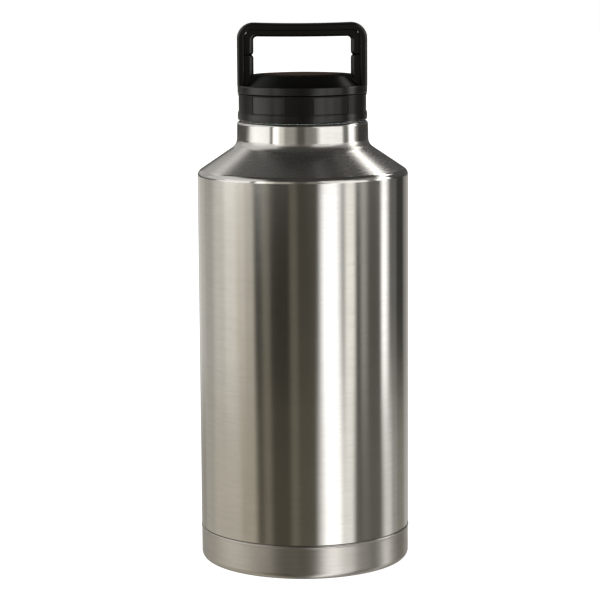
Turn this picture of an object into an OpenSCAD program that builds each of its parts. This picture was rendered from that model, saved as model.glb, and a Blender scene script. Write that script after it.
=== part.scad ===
// Vacuum-insulated growler: double-walled steel bottle with a two-stage screw lid and a carrying handle.
// Millimetres, +Z up, origin on the floor under the bottle's axis. The handle runs along X.

/* [Bottle] */
// Outside diameter of the body
body_d = 114.5; // [100:0.5:140]
// Height of the edge between body and shoulder
body_h = 214.3; // [170:0.1:270]
// Angle of the shoulder above the horizontal
shoulder_angle = 34; // [28:1:42]
// Radius on the edge between body and shoulder
shoulder_round = 4; // [2:0.5:6]
// Radius in the corner between shoulder and neck
neck_round = 6; // [3:0.5:8]
// Outside diameter of the neck
neck_d = 71; // [66:0.5:86]
// Height of the straight neck with its lip
neck_h = 12.5; // [11.5:0.1:20]
// Outer radius of the rolled lip
lip_round = 1.7; // [1.2:0.1:2]
// Wall of the outer shell and the base cup
shell_t = 0.8; // [0.5:0.05:1]
// Wall of the inner vessel
vessel_t = 0.7; // [0.5:0.05:1]
// Width of the vacuum space around the inner vessel
vacuum_gap = 3; // [2.4:0.1:5]
// Width of the double wall in the neck, from the neck's outside to the open mouth
neck_wall = 3.5; // [3.3:0.1:4.5]

/* [Foot] */
// Height of the base cup up to its seam
cup_h = 18.5; // [15:0.1:24]
// Radius on the bottom edge
foot_round = 3.5; // [2.5:0.1:5]
// Diameter of the flat recess inside the foot ring
recess_d = 86; // [70:0.5:92]
// Depth of the recess inside the foot ring
recess_h = 2.6; // [2:0.1:3.4]
// Thickness of the disc that covers the recess
disc_t = 0.4; // [0.3:0.05:0.8]
// Diameter of the evacuation dimple
dimple_d = 18; // [14:0.5:26]
// Diameter of the evacuation hole
evacuation_d = 1.8; // [1:0.1:3]

/* [Vacuum space] */
// Thickness of the radiation foil
foil_t = 0.2; // [0.1:0.05:0.5]
// Diameter of the getter pellet
getter_d = 10; // [6:0.5:14]
// Height of the getter pellet
getter_h = 2; // [1:0.1:2.4]

/* [Threads] */
// Lift of the lid for one turn in the mouth
mouth_lead = 10; // [8:0.5:12]
// Lift of the cap for one turn on the spout
spout_lead = 8; // [7:0.5:10]
// Height of the steel rib inside the mouth
mouth_rib = 1.1; // [0.8:0.05:1.2]
// Height of the ribs on the spout and in the cap
spout_rib = 1.2; // [1:0.05:1.3]
// Angle that each thread rib runs round
rib_turn = 270; // [180:10:300]

/* [Collar] */
// How far the flange and the handle ring stand back from the outside of the neck
lid_inset = 0.35; // [0:0.05:1]
// Height of the chamfered flange under the grip band
flange_h = 4.2; // [3.6:0.1:6]
// Height of the grip band
band_h = 10.3; // [8.5:0.1:13]
// Depth of the grip panels
panel_depth = 0.4; // [0.2:0.05:0.6]
// Number of grip panels
panel_count = 6; // [4:1:8]
// Angle that each grip panel covers
panel_angle = 34; // [20:1:40]
// Wall of the grip band
band_t = 2.5; // [2:0.1:3]
// Depth of the plug below the lip
plug_h = 19.5; // [16:0.5:26]
// Wall of the plug
plug_t = 2; // [1.6:0.1:2.6]
// Thickness of the deck that carries the spout
deck_t = 2.2; // [1.6:0.1:3]
// Bore of the pour spout
spout_d = 33; // [27:0.5:35]
// Wall of the pour spout
spout_t = 2.7; // [2.2:0.1:3]
// Height of the spout's rim above its deck
spout_h = 11.6; // [11.2:0.1:13]

/* [Cap] */
// Height of the handle ring
ring_h = 4.2; // [3.6:0.1:6]
// Height of the dome above the handle ring
dome_h = 5.7; // [5:0.1:8]
// Width of the dome's sloping side
dome_run = 3.95; // [2.5:0.05:5]
// Width of the dome's rim around the inlaid disc
inlay_rim = 3.8; // [3:0.1:8]
// Thickness of the inlaid disc at its edge
inlay_t = 1; // [0.6:0.1:1.4]
// Rise of the inlaid disc at its middle
inlay_rise = 0.7; // [0.3:0.1:1.2]
// Depth of the hollow stopper below the spout's rim
stopper_h = 15.6; // [10:0.1:18]
// Wall of the cap's liner
liner_t = 1.8; // [1.4:0.1:2.2]

/* [Handle] */
// Height of the handle above the ring
handle_h = 33.6; // [30:0.1:42]
// Thickness of the outer strap
strap_t = 3.7; // [3:0.1:4.5]
// Depth of the strap from front to back
strap_w = 17; // [14:0.5:20]
// Radius on the strap's outer corners
strap_round = 8.7; // [7:0.1:11]
// Thickness of the inner half beside the arms
pad_t = 5; // [4:0.1:6]
// Thickness of the inner half under the bar
grip_t = 3.7; // [3:0.1:5]
// Depth of the inner half from front to back
pad_w = 12.4; // [10:0.2:14]
// Radius on the corners of the finger opening
opening_round = 2.2; // [1.6:0.1:3]
// Dip in the middle of the bar's top
bar_dip = 0.5; // [0:0.1:0.8]
// Height of the lugs above the ring, up to the notch
lug_h = 16.2; // [12:0.1:20]
// Diameter of the pins through the strap
pin_d = 2; // [1.5:0.1:2.5]

/* [Clearances] */
// Gap between the lip and the flange
lip_gap = 0.3; // [0.2:0.05:0.5]
// Gap between the grip band and the handle ring
ring_gap = 0.4; // [0.3:0.05:0.6]
// Play between pieces that are fixed to each other
fit = 0.1; // [0.05:0.01:0.2]
// Play around pieces that turn or slide
play = 0.4; // [0.3:0.05:0.5]
// Play between the crest of a thread and the wall it faces
crest_play = 0.55; // [0.5:0.05:0.6]

/* [Hidden] */
$fn = 96;

// Bottle
arc_step = 6;
body_r = body_d / 2;
neck_r = neck_d / 2;
mouth_r = neck_r - neck_wall;
cone_h = (body_r - neck_r) * tan(shoulder_angle);
neck_z = body_h + cone_h;
lip_z = neck_z + neck_h;
lip_r = neck_r - lip_round;
jacket = shell_t + vacuum_gap;
vessel_r = body_r - jacket;
vessel_neck_r = mouth_r + vessel_t;
cone_inset = jacket / cos(shoulder_angle);
vessel_shoulder_z = body_h + jacket * tan(shoulder_angle) - cone_inset;
vessel_neck_z = body_h + (body_r - vessel_neck_r) * tan(shoulder_angle) - cone_inset;
vessel_neck_round = 4;
foot_floor_z = recess_h + shell_t;
vessel_z = foot_floor_z + vacuum_gap + 1.6;
vessel_round = 9;
vessel_seam_z = vessel_z + vessel_round + 3;

// Foot
recess_r = recess_d / 2;
dimple_r = dimple_d / 2;
dimple_z = recess_h + 1.2;
foot_slope = 1.7;
dimple_slope = 1.2;
seal_r = dimple_r / 3;
joggle_h = 6;
seam_step = 0.5;
bead_r = 0.35;
bead_sunk = 0.1;

// Mouth thread: two starts, ribs of steel and plastic half a pitch apart
starts = 2;
rib_foot = 1.15;
rib_top = 0.65;
rib_embed = 0.35;
rib_fade = 3;
rib_step = 10;
mouth_pitch = mouth_lead / starts;
mouth_rib_z = vessel_neck_z + 4.6;
mouth_crest_r = mouth_r - mouth_rib;
plug_r = mouth_r - 1.8;
plug_rib = mouth_r - crest_play - plug_r;

// Collar
lid_r = neck_r - lid_inset;
flange_z = lip_z + lip_gap;
flange_chamfer = 0.95;
band_z = flange_z + flange_h;
band_top_z = band_z + band_h;
band_r = lid_r - 0.15;
band_in_r = band_r - band_t;
groove_w = 0.35;
groove_depth = 0.2;
first_panel = 27 - 90;
panel_foot = 0.6;
panel_head = 0.7;
gasket_t = 1.2;
gasket_in_r = plug_r + play;
gasket_out_r = lip_r - 0.4;
gasket_top_z = lip_z + gasket_t;
deck_z = band_z - 0.1;
deck_top_z = deck_z + deck_t;
plug_z = lip_z - plug_h;
cover_t = 2.2;
plug_in_r = plug_r - plug_t;
cover_step = 0.6;
spout_in_r = spout_d / 2;
spout_r = spout_in_r + spout_t;
tube_r = spout_in_r + 1.8;
rim_z = deck_top_z + spout_h;

// Spout thread
spout_pitch = spout_lead / starts;
spout_foot = 0.9;
spout_top = 0.45;
socket_r = spout_r + spout_rib + crest_play;
spout_rib_z = deck_top_z + 2.2;

// Cap
ring_z = band_top_z + ring_gap;
ring_top_z = ring_z + ring_h;
ring_floor_t = 1.6;
strap_in = lid_r - strap_t;
dome_r = strap_in - play / 2;
dome_z = ring_top_z + dome_h;
dome_top_r = dome_r - dome_run;
dome_t = 2;
dome_spring = 0.8;
inlay_r = dome_top_r - inlay_rim;
inlay_z = dome_z - inlay_t;
ceiling_z = inlay_z - 1.8;
seal_t = 1.3;
seal_z = rim_z + seal_t;
plate_z = seal_z - 0.5;
plate_top_z = seal_z + 1.5;
plate_r = dome_top_r + 0.1;
weld_in_r = plate_r - 2.8;
weld_out_r = plate_r - 0.5;
weld_z = dome_z - 3.1;
stopper_r = spout_in_r - 1.7;
stopper_z = rim_z - stopper_h;
skirt_r = socket_r + 2;
skirt_z = deck_top_z + 1.2;

// Handle
bar_z = ring_top_z + handle_h;
bar_under_z = bar_z - strap_t - fit - grip_t;
opening_r = strap_in - fit - pad_t;
lug_z = ring_top_z + lug_h;
notch_gap = 0.2;
end_round = 1.6;
crown_r = 60;
strap_edge = 1.1;
pad_edge = 2.2;
corner_steps = 9;
bar_steps = 8;
pin_z = (lug_z + bar_z - strap_round) / 2;
pin_l = 5;
lug_sunk = 0.05;
foot_sunk = 0.5;
strap_foot_z = ring_top_z - foot_sunk;
strap_stand = 0.12;

// Half of the cross-sections that u_sweep takes, from the inner U round to the outer
strap_half = strap_w / 2;
strap_edge_d = crown_sag(strap_half - strap_edge);
strap_front = [
    [0, 0, -strap_half + 0.4],
    [0, 0.4, -strap_half],
    for (a = [90 : -30 : 0])
        [1, strap_edge_d + strap_edge * (1 - cos(a)), -strap_half + strap_edge * (1 - sin(a))]
];
strap_crown = [
    for (i = [1 : 5])
        let (y = (i - 3) / 3 * (strap_half - strap_edge))
        [1, crown_sag(y), y]
];
pad_half = pad_w / 2;
pad_front = [
    for (a = [0 : 22.5 : 90]) [0, pad_edge * (1 - cos(a)), -pad_half + pad_edge * (1 - sin(a))],
    [1, 0, -pad_half]
];

// ---- shared geometry ----

function unit(v) = v / norm(v);
function cross2(a, b) = a[0] * b[1] - a[1] * b[0];
function flip(list) = [for (i = [len(list) - 1 : -1 : 0]) list[i]];
function xy(p) = [p[0], p[1]];
function radius_of(p) = len(p) > 2 ? p[2] : 0;

// One corner of an outline: the point itself, or an arc of its radius
function corner(a, b, c, r) =
    let (u = unit(a - b), w = unit(c - b), half = acos(u * w) / 2)
    let (start = b + u * r / tan(half), centre = b + unit(u + w) * r / sin(half))
    let (from = atan2(start[1] - centre[1], start[0] - centre[0]))
    let (sweep = (180 - 2 * half) * sign(cross2(b - a, c - b)))
    let (steps = ceil(abs(sweep) / arc_step))
    [for (i = [0 : steps]) centre + r * [cos(from + sweep * i / steps), sin(from + sweep * i / steps)]];

// An open path of [r, z] or [r, z, corner radius] with its corners rounded
function rounded_path(p) = [
    for (i = [0 : len(p) - 1])
        each (i == 0 || i == len(p) - 1 || radius_of(p[i]) <= 0
            ? [xy(p[i])]
            : corner(xy(p[i - 1]), xy(p[i]), xy(p[i + 1]), radius_of(p[i])))
];

// A closed outline of the same kind of points with its corners rounded
function rounded_loop(p) = [
    for (i = [0 : len(p) - 1])
        each (radius_of(p[i]) <= 0
            ? [xy(p[i])]
            : corner(xy(p[(i + len(p) - 1) % len(p)]), xy(p[i]), xy(p[(i + 1) % len(p)]), radius_of(p[i])))
];

function left_of(v) = [-v[1], v[0]];

// The same path moved by t to its left, with the corner radii that keep the wall even
function offset_path(p, t) = [
    for (i = [0 : len(p) - 1])
        let (back = i == 0 ? xy(p[1]) - xy(p[0]) : xy(p[i]) - xy(p[i - 1]))
        let (ahead = i == len(p) - 1 ? back : xy(p[i + 1]) - xy(p[i]))
        let (n = unit(left_of(unit(back)) + left_of(unit(ahead))))
        let (side = sign(cross2(back, ahead)))
        let (place = xy(p[i]) + n * t / (n * left_of(unit(ahead))))
        [place[0], place[1], max(0, radius_of(p[i]) - side * t)]
];

// A sheet-metal wall of thickness t on the left of the path, turned about Z
module spun_wall(path, t) {
    rotate_extrude()
        polygon(concat(rounded_path(path), flip(rounded_path(offset_path(path, t)))));
}

// A solid of revolution from a closed outline
module spun(outline) {
    rotate_extrude()
        polygon(rounded_loop(outline));
}

// A plain ring or disc between two heights
module ring(r_in, r_out, z_low, z_high) {
    rotate_extrude()
        translate([r_in, z_low])
            square([r_out - r_in, z_high - z_low]);
}

// One thread rib: a trapezoid swept along a helix, faded into the wall at both ends.
// side is 1 for a rib that stands out from a post and -1 for one that stands in from a socket.
module thread_rib(wall_r, height, side, foot, top, lead, z_low, turn_from) {
    steps = ceil(rib_turn / rib_step);
    section = [[-rib_embed, -foot], [height, -top], [height, top], [-rib_embed, foot]];
    points = [
        for (i = [0 : steps])
            let (grow = min(1, i / rib_fade, (steps - i) / rib_fade), turn = rib_turn * i / steps)
            for (p = section)
                let (out = p[0] > 0 ? -0.2 + (height + 0.2) * grow : p[0])
                let (r = wall_r + side * out)
                [r * cos(turn_from + turn), r * sin(turn_from + turn), z_low + lead * turn / 360 + p[1]]
    ];
    sides = [
        for (i = [0 : steps - 1], k = [0 : 3])
            let (a = 4 * i + k, b = 4 * i + (k + 1) % 4)
            each [[a, b, b + 4], [a, b + 4, a + 4]]
    ];
    caps = [[3, 2, 1, 0], [for (k = [0 : 3]) 4 * steps + k]];
    faces = concat(sides, caps);
    polyhedron(points, side > 0 ? faces : [for (f = faces) flip(f)]);
}

module thread(wall_r, height, side, foot, top, lead, z_low) {
    for (s = [0 : starts - 1])
        thread_rib(wall_r, height, side, foot, top, lead, z_low, 360 * s / starts);
}

// ---- bottle ----

module outer_shell() {
    color("silver")
        spun_wall([
            [body_r - shell_t, cup_h - joggle_h],
            [body_r - shell_t, cup_h],
            [body_r, cup_h + seam_step],
            [body_r, body_h, shoulder_round],
            [neck_r, neck_z, neck_round],
            [neck_r, lip_z, lip_round],
            [lip_r, lip_z]
        ], shell_t);
}

module base_cup() {
    color("lightgray") {
        spun_wall([
            [evacuation_d / 2, dimple_z],
            [dimple_r, dimple_z],
            [dimple_r + dimple_slope, recess_h],
            [recess_r, recess_h],
            [recess_r + foot_slope, 0],
            [body_r, 0, foot_round],
            [body_r, cup_h]
        ], shell_t);
        rotate_extrude()
            translate([body_r - bead_sunk, cup_h - 2 * bead_r])
                circle(bead_r);
    }
}

module base_disc() {
    color("gainsboro")
        ring(0, recess_r - play, recess_h - disc_t, recess_h);
}

module vacuum_seal() {
    color("darkslategray") {
        ring(0, seal_r, recess_h + fit, dimple_z);
        ring(0, evacuation_d / 2, dimple_z, dimple_z + shell_t);
    }
}

module inner_vessel() {
    color("silver") {
        spun_wall([
            [vessel_r, vessel_seam_z],
            [vessel_r, vessel_shoulder_z, shoulder_round],
            [vessel_neck_r, vessel_neck_z, vessel_neck_round],
            [vessel_neck_r, lip_z - vessel_t],
            [lip_r, lip_z - vessel_t]
        ], vessel_t);
        thread(mouth_r, mouth_rib, -1, rib_foot, rib_top, mouth_lead, mouth_rib_z);
    }
}

module vessel_bottom() {
    color("silver")
        spun_wall([
            [0, vessel_z],
            [vessel_r, vessel_z, vessel_round],
            [vessel_r, vessel_seam_z]
        ], vessel_t);
}

module heat_foil() {
    color("goldenrod")
        ring(
            vessel_r + fit,
            vessel_r + fit + foil_t,
            vessel_z + vessel_round,
            vessel_shoulder_z - shoulder_round
        );
}

module getter() {
    color("dimgray")
        translate([dimple_r + getter_d, 0, foot_floor_z])
            cylinder(h = getter_h, d = getter_d);
}

// ---- lid, lower stage ----

module mouth_gasket() {
    color("whitesmoke")
        ring(gasket_in_r, gasket_out_r, lip_z, gasket_top_z);
}

module grip_collar() {
    color("black")
        difference() {
            spun([
                [lid_r - flange_chamfer, flange_z],
                [lid_r, flange_z + flange_chamfer],
                [lid_r, band_z - groove_w / 2],
                [band_r - groove_depth, band_z - groove_w / 2],
                [band_r - groove_depth, band_z + groove_w / 2],
                [band_r, band_z + groove_w / 2],
                [band_r, band_top_z, 0.4],
                [band_in_r, band_top_z],
                [band_in_r, deck_z],
                [plug_r + fit, deck_z],
                [plug_r + fit, gasket_top_z],
                [gasket_out_r + play, gasket_top_z],
                [gasket_out_r + play, flange_z]
            ]);
            for (i = [0 : panel_count - 1])
                rotate(first_panel + i * 360 / panel_count - panel_angle / 2)
                    grip_panel();
        }
}

// The space that one grip panel takes out of the band
module grip_panel() {
    rotate_extrude(angle = panel_angle)
        translate([band_r - panel_depth, band_z + panel_foot])
            square([band_t, band_h - panel_foot - panel_head]);
}

module spout_plug() {
    color("black") {
        spun([
            [spout_in_r, plug_z],
            [tube_r, plug_z],
            [tube_r, plug_z + cover_t],
            [tube_r + cover_step, plug_z + cover_t],
            [tube_r + cover_step, deck_z],
            [plug_in_r - cover_step, deck_z],
            [plug_in_r - cover_step, plug_z + cover_t],
            [plug_in_r, plug_z + cover_t],
            [plug_in_r, plug_z],
            [plug_r, plug_z, 0.8],
            [plug_r, deck_z],
            [band_in_r - fit, deck_z],
            [band_in_r - fit, deck_top_z],
            [spout_r, deck_top_z, 0.8],
            [spout_r, rim_z, 0.7],
            [spout_in_r, rim_z, 0.7]
        ]);
        thread(plug_r, plug_rib, 1, rib_foot, rib_top, mouth_lead, mouth_rib_z - mouth_pitch / 2);
        thread(spout_r, spout_rib, 1, spout_foot, spout_top, spout_lead, spout_rib_z);
    }
}

module collar_foam() {
    color("khaki")
        ring(
            tube_r + cover_step + 2 * fit, plug_in_r - cover_step - 2 * fit,
            plug_z + cover_t + 2 * fit, deck_z - 2 * fit
        );
}

module plug_cover() {
    color("black")
        ring(tube_r + fit, plug_in_r - fit, plug_z, plug_z + cover_t);
}

// ---- lid, upper stage ----

module spout_gasket() {
    color("whitesmoke")
        ring(spout_in_r - 0.5, spout_r + play, rim_z, seal_z);
}

module cap_liner() {
    color("dimgray") {
        spun([
            [0, stopper_z],
            [stopper_r, stopper_z, 1.5],
            [stopper_r, plate_z],
            [spout_in_r - 0.5 - play, plate_z],
            [spout_in_r - 0.5 - play, seal_z],
            [spout_r + 2 * play, seal_z],
            [spout_r + 2 * play, plate_z],
            [socket_r, plate_z],
            [socket_r, skirt_z],
            [skirt_r, skirt_z, 0.5],
            [skirt_r, plate_z, 0.6],
            [plate_r, plate_z],
            [plate_r, plate_top_z],
            [stopper_r - liner_t, plate_top_z],
            [stopper_r - liner_t, stopper_z + liner_t],
            [0, stopper_z + liner_t]
        ]);
        thread(socket_r, spout_rib, -1, spout_foot, spout_top, spout_lead, spout_rib_z + spout_pitch / 2);
    }
}

module cap_foam() {
    color("khaki")
        ring(0, stopper_r - liner_t - 2 * fit, stopper_z + liner_t + 2 * fit, ceiling_z - 2 * fit);
}

module cap_shell() {
    color("black")
        difference() {
            union() {
                spun([
                    [0, ring_z + ring_floor_t],
                    [dome_r, ring_z + ring_floor_t],
                    [dome_r, ring_top_z],
                    [dome_top_r, dome_z, 1.4],
                    [inlay_r + fit, dome_z],
                    [inlay_r + fit, inlay_z],
                    [0, inlay_z]
                ]);
                for (side = [0, 1])
                    mirror([side, 0, 0])
                        lug();
            }
            spun([
                [0, ring_z],
                [dome_r - dome_t, ring_z],
                [dome_r - dome_t, ring_top_z - dome_spring],
                [weld_out_r, weld_z],
                [weld_out_r, plate_top_z],
                [weld_in_r, plate_top_z],
                [weld_in_r, ceiling_z],
                [0, ceiling_z]
            ]);
        }
}

// A post on the dome that fills the lower half of one arm, rounded towards the opening and at its top
module lug() {
    intersection() {
        translate([0, 0, ring_top_z + lug_sunk])
            linear_extrude(lug_h)
                polygon(rounded_loop([
                    [opening_r, -pad_w / 2, pad_edge],
                    [strap_in - fit, -pad_w / 2],
                    [strap_in - fit, pad_w / 2],
                    [opening_r, pad_w / 2, pad_edge]
                ]));
        translate([0, pad_w, 0])
            rotate([90, 0, 0])
                linear_extrude(2 * pad_w)
                    polygon(rounded_loop([
                        [opening_r - 1, ring_top_z],
                        [lid_r, ring_top_z],
                        [lid_r, lug_z - notch_gap / 2],
                        [opening_r, lug_z - notch_gap / 2, end_round],
                        [opening_r, lug_z - 2 * end_round],
                        [opening_r - 1, lug_z - 2 * end_round]
                    ]));
    }
}

module top_disc() {
    color("saddlebrown")
        rotate_extrude()
            polygon(concat(
                [[0, inlay_z], [inlay_r, inlay_z]],
                [for (i = [0 : 6]) inlay_r * [cos(15 * i), 0] + [0, dome_z + inlay_rise * sin(15 * i)]]
            ));
}

// ---- handle ----

// Height of the bar's top and underside above its ends, a shallow dip in the middle
function dip(x, depth) = -depth * (1 - pow(x / opening_r, 2));

// One half of a U-shaped boundary, from the leg at x up round the corner to the middle of the bar at z
function u_quarter(x, z, r, foot_z, depth) = concat(
    [[x, foot_z], [x, foot_z + end_round], [x, (foot_z + z - r) / 2]],
    [
        for (i = [0 : corner_steps])
            let (a = 90 * i / corner_steps)
                [x - r + r * cos(a), z - r + r * sin(a)]
    ],
    [
        for (i = [1 : bar_steps])
            let (reach = (x - r) * (1 - i / bar_steps))
            [reach, z + dip(reach, depth) - dip(x - r, depth)]
    ]
);

function u_path(x, z, r, foot_z, depth) =
    let (half = u_quarter(x, z, r, foot_z, depth))
    concat(half, [for (i = [len(half) - 2 : -1 : 0]) [-half[i][0], half[i][1]]]);

// A solid swept between an inner and an outer U. Each point of the cross-section is
// [0 from the inner U or 1 from the outer, depth into the solid, place from front to back],
// and pull draws the points in at the two feet, where the solid is rounded.
module u_sweep(inner, outer, section, pull) {
    n = len(section);
    last = len(inner) - 1;
    points = [
        for (i = [0 : last])
            let (out = unit(outer[i] - inner[i]), e = i == 0 || i == last ? pull : 0)
            for (s = section)
                let (p = s[0] == 0 ? inner[i] + out * (s[1] + e) : outer[i] - out * s[1])
                [p[0], s[2] - e * sign(s[2]), p[1]]
    ];
    sides = [
        for (i = [0 : last - 1], k = [0 : n - 1])
            let (a = n * i + k, b = n * i + (k + 1) % n)
            each [[a, b + n, b], [a, a + n, b + n]]
    ];
    polyhedron(points, concat(sides, [[for (k = [0 : n - 1]) k], [for (k = [n - 1 : -1 : 0]) n * last + k]]));
}

function crown_sag(y) = crown_r - sqrt(crown_r * crown_r - y * y);
function to_back(section) = [for (s = flip(section)) [s[0], s[1], -s[2]]];

module handle_frame() {
    color("black")
        difference() {
            union() {
                spun([
                    [dome_r - dome_t - play, ring_z],
                    [lid_r, ring_z, 0.3],
                    [lid_r, ring_top_z, 0.5],
                    [strap_in, ring_top_z],
                    [strap_in, ring_z + ring_floor_t],
                    [dome_r - dome_t - play, ring_z + ring_floor_t]
                ]);
                u_sweep(
                    u_path(strap_in, bar_z - strap_t, strap_round - strap_t, strap_foot_z, bar_dip),
                    u_path(lid_r + strap_stand, bar_z, strap_round + strap_stand, strap_foot_z, bar_dip),
                    concat(strap_front, strap_crown, to_back(strap_front)),
                    0
                );
            }
            pins(pin_d + fit, fit / 2);
        }
}

module grip_liner() {
    color("black")
        difference() {
            u_sweep(
                u_path(opening_r, bar_under_z, opening_round, lug_z + notch_gap / 2, bar_dip / 2),
                u_path(
                    strap_in - fit, bar_z - strap_t - fit, strap_round - strap_t - fit,
                    lug_z + notch_gap / 2, bar_dip
                ),
                concat(pad_front, to_back(pad_front)),
                end_round * 0.6
            );
            pins(pin_d + fit, fit / 2);
        }
}

module pins(d, extra) {
    for (side = [-1, 1])
        translate([side * strap_in, 0, pin_z])
            rotate([0, 90, 0])
                cylinder(h = pin_l + 2 * extra, d = d, center = true);
}

module liner_pins() {
    color("silver")
        pins(pin_d, 0);
}

outer_shell();
base_cup();
base_disc();
vacuum_seal();
inner_vessel();
vessel_bottom();
heat_foil();
getter();
mouth_gasket();
grip_collar();
spout_plug();
collar_foam();
plug_cover();
spout_gasket();
handle_frame();
cap_shell();
top_disc();
cap_liner();
cap_foam();
grip_liner();
liner_pins();
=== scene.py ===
"""Looks of the double-walled growler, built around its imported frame.

Every piece is made in metres in the frame of the part: +Z up, the origin on the floor under the bottle's
axis, the handle along X and its front towards -Y. Heights come from the frame's boxes, and the sizes that a
box doesn't give are fields of the class that builds the piece.
"""

from __future__ import annotations

import logging
import math
from collections.abc import Callable
from dataclasses import dataclass, field, replace
from enum import Enum
from functools import cache

import bmesh
import bpy
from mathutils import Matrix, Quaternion, Vector


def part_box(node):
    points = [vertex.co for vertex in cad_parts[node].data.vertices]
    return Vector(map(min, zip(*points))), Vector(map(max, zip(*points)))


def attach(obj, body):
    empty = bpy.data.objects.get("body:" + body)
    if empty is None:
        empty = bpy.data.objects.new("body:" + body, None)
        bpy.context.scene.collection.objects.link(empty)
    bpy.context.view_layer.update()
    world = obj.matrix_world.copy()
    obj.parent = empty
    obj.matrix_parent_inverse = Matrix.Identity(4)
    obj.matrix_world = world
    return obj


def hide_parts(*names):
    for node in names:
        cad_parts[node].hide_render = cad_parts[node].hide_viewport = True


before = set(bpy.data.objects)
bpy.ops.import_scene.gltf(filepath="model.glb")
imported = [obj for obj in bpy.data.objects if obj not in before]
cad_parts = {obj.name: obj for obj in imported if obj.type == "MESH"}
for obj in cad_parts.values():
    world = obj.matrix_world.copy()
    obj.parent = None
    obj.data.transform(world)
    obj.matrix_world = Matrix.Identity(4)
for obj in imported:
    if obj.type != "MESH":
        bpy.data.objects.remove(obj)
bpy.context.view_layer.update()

MM = 0.001
FIT = 0.1 * MM
# The span that holds most of a noise's values, and the middle of it.
MOST = (0.3, 0.7)
MIDDLE = (0.35, 0.65)
# Red, green and blue of a strip's warmth, of a lamp and of the zenith.
WARM_TINT = (0.9, 0.25, -1.15)
LAMP_TINT = (1.0, 0.98, 0.94)
ZENITH_TINT = (1.05, 1.0, 0.92)
log = logging.getLogger("growler")

Place = tuple[float, float, float]
Spot = tuple[float, float]
Colour = tuple[float, float, float]
Piece = bpy.types.Object
Socket = bpy.types.NodeSocket
Inputs = bpy.types.NodeInputs


# ---- outlines ----


@cache
def low_of(node: str) -> float:
    """Height of the lowest point of a CAD node, in metres."""
    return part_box(node)[0].z


@cache
def high_of(node: str) -> float:
    """Height of the highest point of a CAD node, in metres."""
    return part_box(node)[1].z


def arc_of(before: Place, at: Place, after: Place, step: float) -> list[Spot]:
    """Rounds one corner of an outline.

    Args:
        before: The outline's point before the corner, as (r, z, corner radius).
        at: The corner itself, with the radius that it is rounded to.
        after: The outline's next point.
        step: Largest turn between two points of the arc, in radians.

    Returns:
        The points of the arc, or the corner alone if it stays sharp.
    """
    corner = Vector(at[:2])
    if at[2] <= 0:
        return [(corner.x, corner.y)]
    back = (Vector(before[:2]) - corner).normalized()
    ahead = (Vector(after[:2]) - corner).normalized()
    half = back.angle(ahead) / 2
    if half > math.radians(89.5):
        return [(corner.x, corner.y)]
    start = corner + back * at[2] / math.tan(half)
    centre = corner + (back + ahead).normalized() * at[2] / math.sin(half)
    turn = math.pi - 2 * half
    side = 1.0 if back.x * ahead.y - back.y * ahead.x < 0 else -1.0
    first = math.atan2(start.y - centre.y, start.x - centre.x)
    count = max(2, math.ceil(turn / step))
    spots = []
    for k in range(count + 1):
        angle = first + side * turn * k / count
        spots.append((centre.x + at[2] * math.cos(angle), centre.y + at[2] * math.sin(angle)))
    return spots


def rounded(corners: list[Place], closed: bool = True, step: float = math.radians(5)) -> list[Spot]:
    """Rounds every corner of an outline that has a radius.

    Args:
        corners: The outline's points as (r, z, corner radius).
        closed: Whether the last point joins the first.
        step: Largest turn between two points of an arc, in radians.

    Returns:
        The outline as plain points.
    """
    count = len(corners)
    spots: list[Spot] = []
    for i, corner in enumerate(corners):
        if not closed and i in (0, count - 1):
            spots.append(corner[:2])
        else:
            spots += arc_of(corners[i - 1], corner, corners[(i + 1) % count], step)
    return spots


def left_side(corners: list[Place], wall: float) -> list[Place]:
    """Moves an open outline to its left by the thickness of a wall.

    Args:
        corners: The outline's points as (r, z, corner radius).
        wall: How far it moves, in metres.

    Returns:
        The moved outline, with the radii that keep the wall even.
    """
    moved = []
    for i, corner in enumerate(corners):
        at = Vector(corner[:2])
        back = (at - Vector(corners[i - 1][:2])) if i else Vector(corners[1][:2]) - at
        ahead = (Vector(corners[i + 1][:2]) - at) if i < len(corners) - 1 else back
        back.normalize()
        ahead.normalize()
        left_back, left_ahead = Vector((-back.y, back.x)), Vector((-ahead.y, ahead.x))
        middle = (left_back + left_ahead).normalized()
        turn = back.x * ahead.y - back.y * ahead.x
        side = 0.0 if abs(turn) < 1e-9 else math.copysign(1.0, turn)
        place = at + middle * wall / middle.dot(left_ahead)
        moved.append((place.x, place.y, max(0.0, corner[2] - side * wall)))
    return moved


def sheet_wall(corners: list[Place], wall: float) -> list[Spot]:
    """The closed outline of a sheet-metal wall on the left of an open outline."""
    return rounded(corners, closed=False) + rounded(left_side(corners, wall), closed=False)[::-1]


def even_angles(count: int) -> list[float]:
    """Angles all round the axis, in radians, evenly spaced."""
    return [2 * math.pi * k / count for k in range(count)]


def quarter(steps: int) -> list[float]:
    """Angles from 0 to a right angle, in radians, in equal steps."""
    return [math.pi / 2 * k / steps for k in range(steps + 1)]


def smooth_step(value: float) -> float:
    """0 below 0, 1 above 1 and a soft S between them."""
    share = min(1.0, max(0.0, value))
    return share * share * (3 - 2 * share)


# ---- meshes ----


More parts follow.
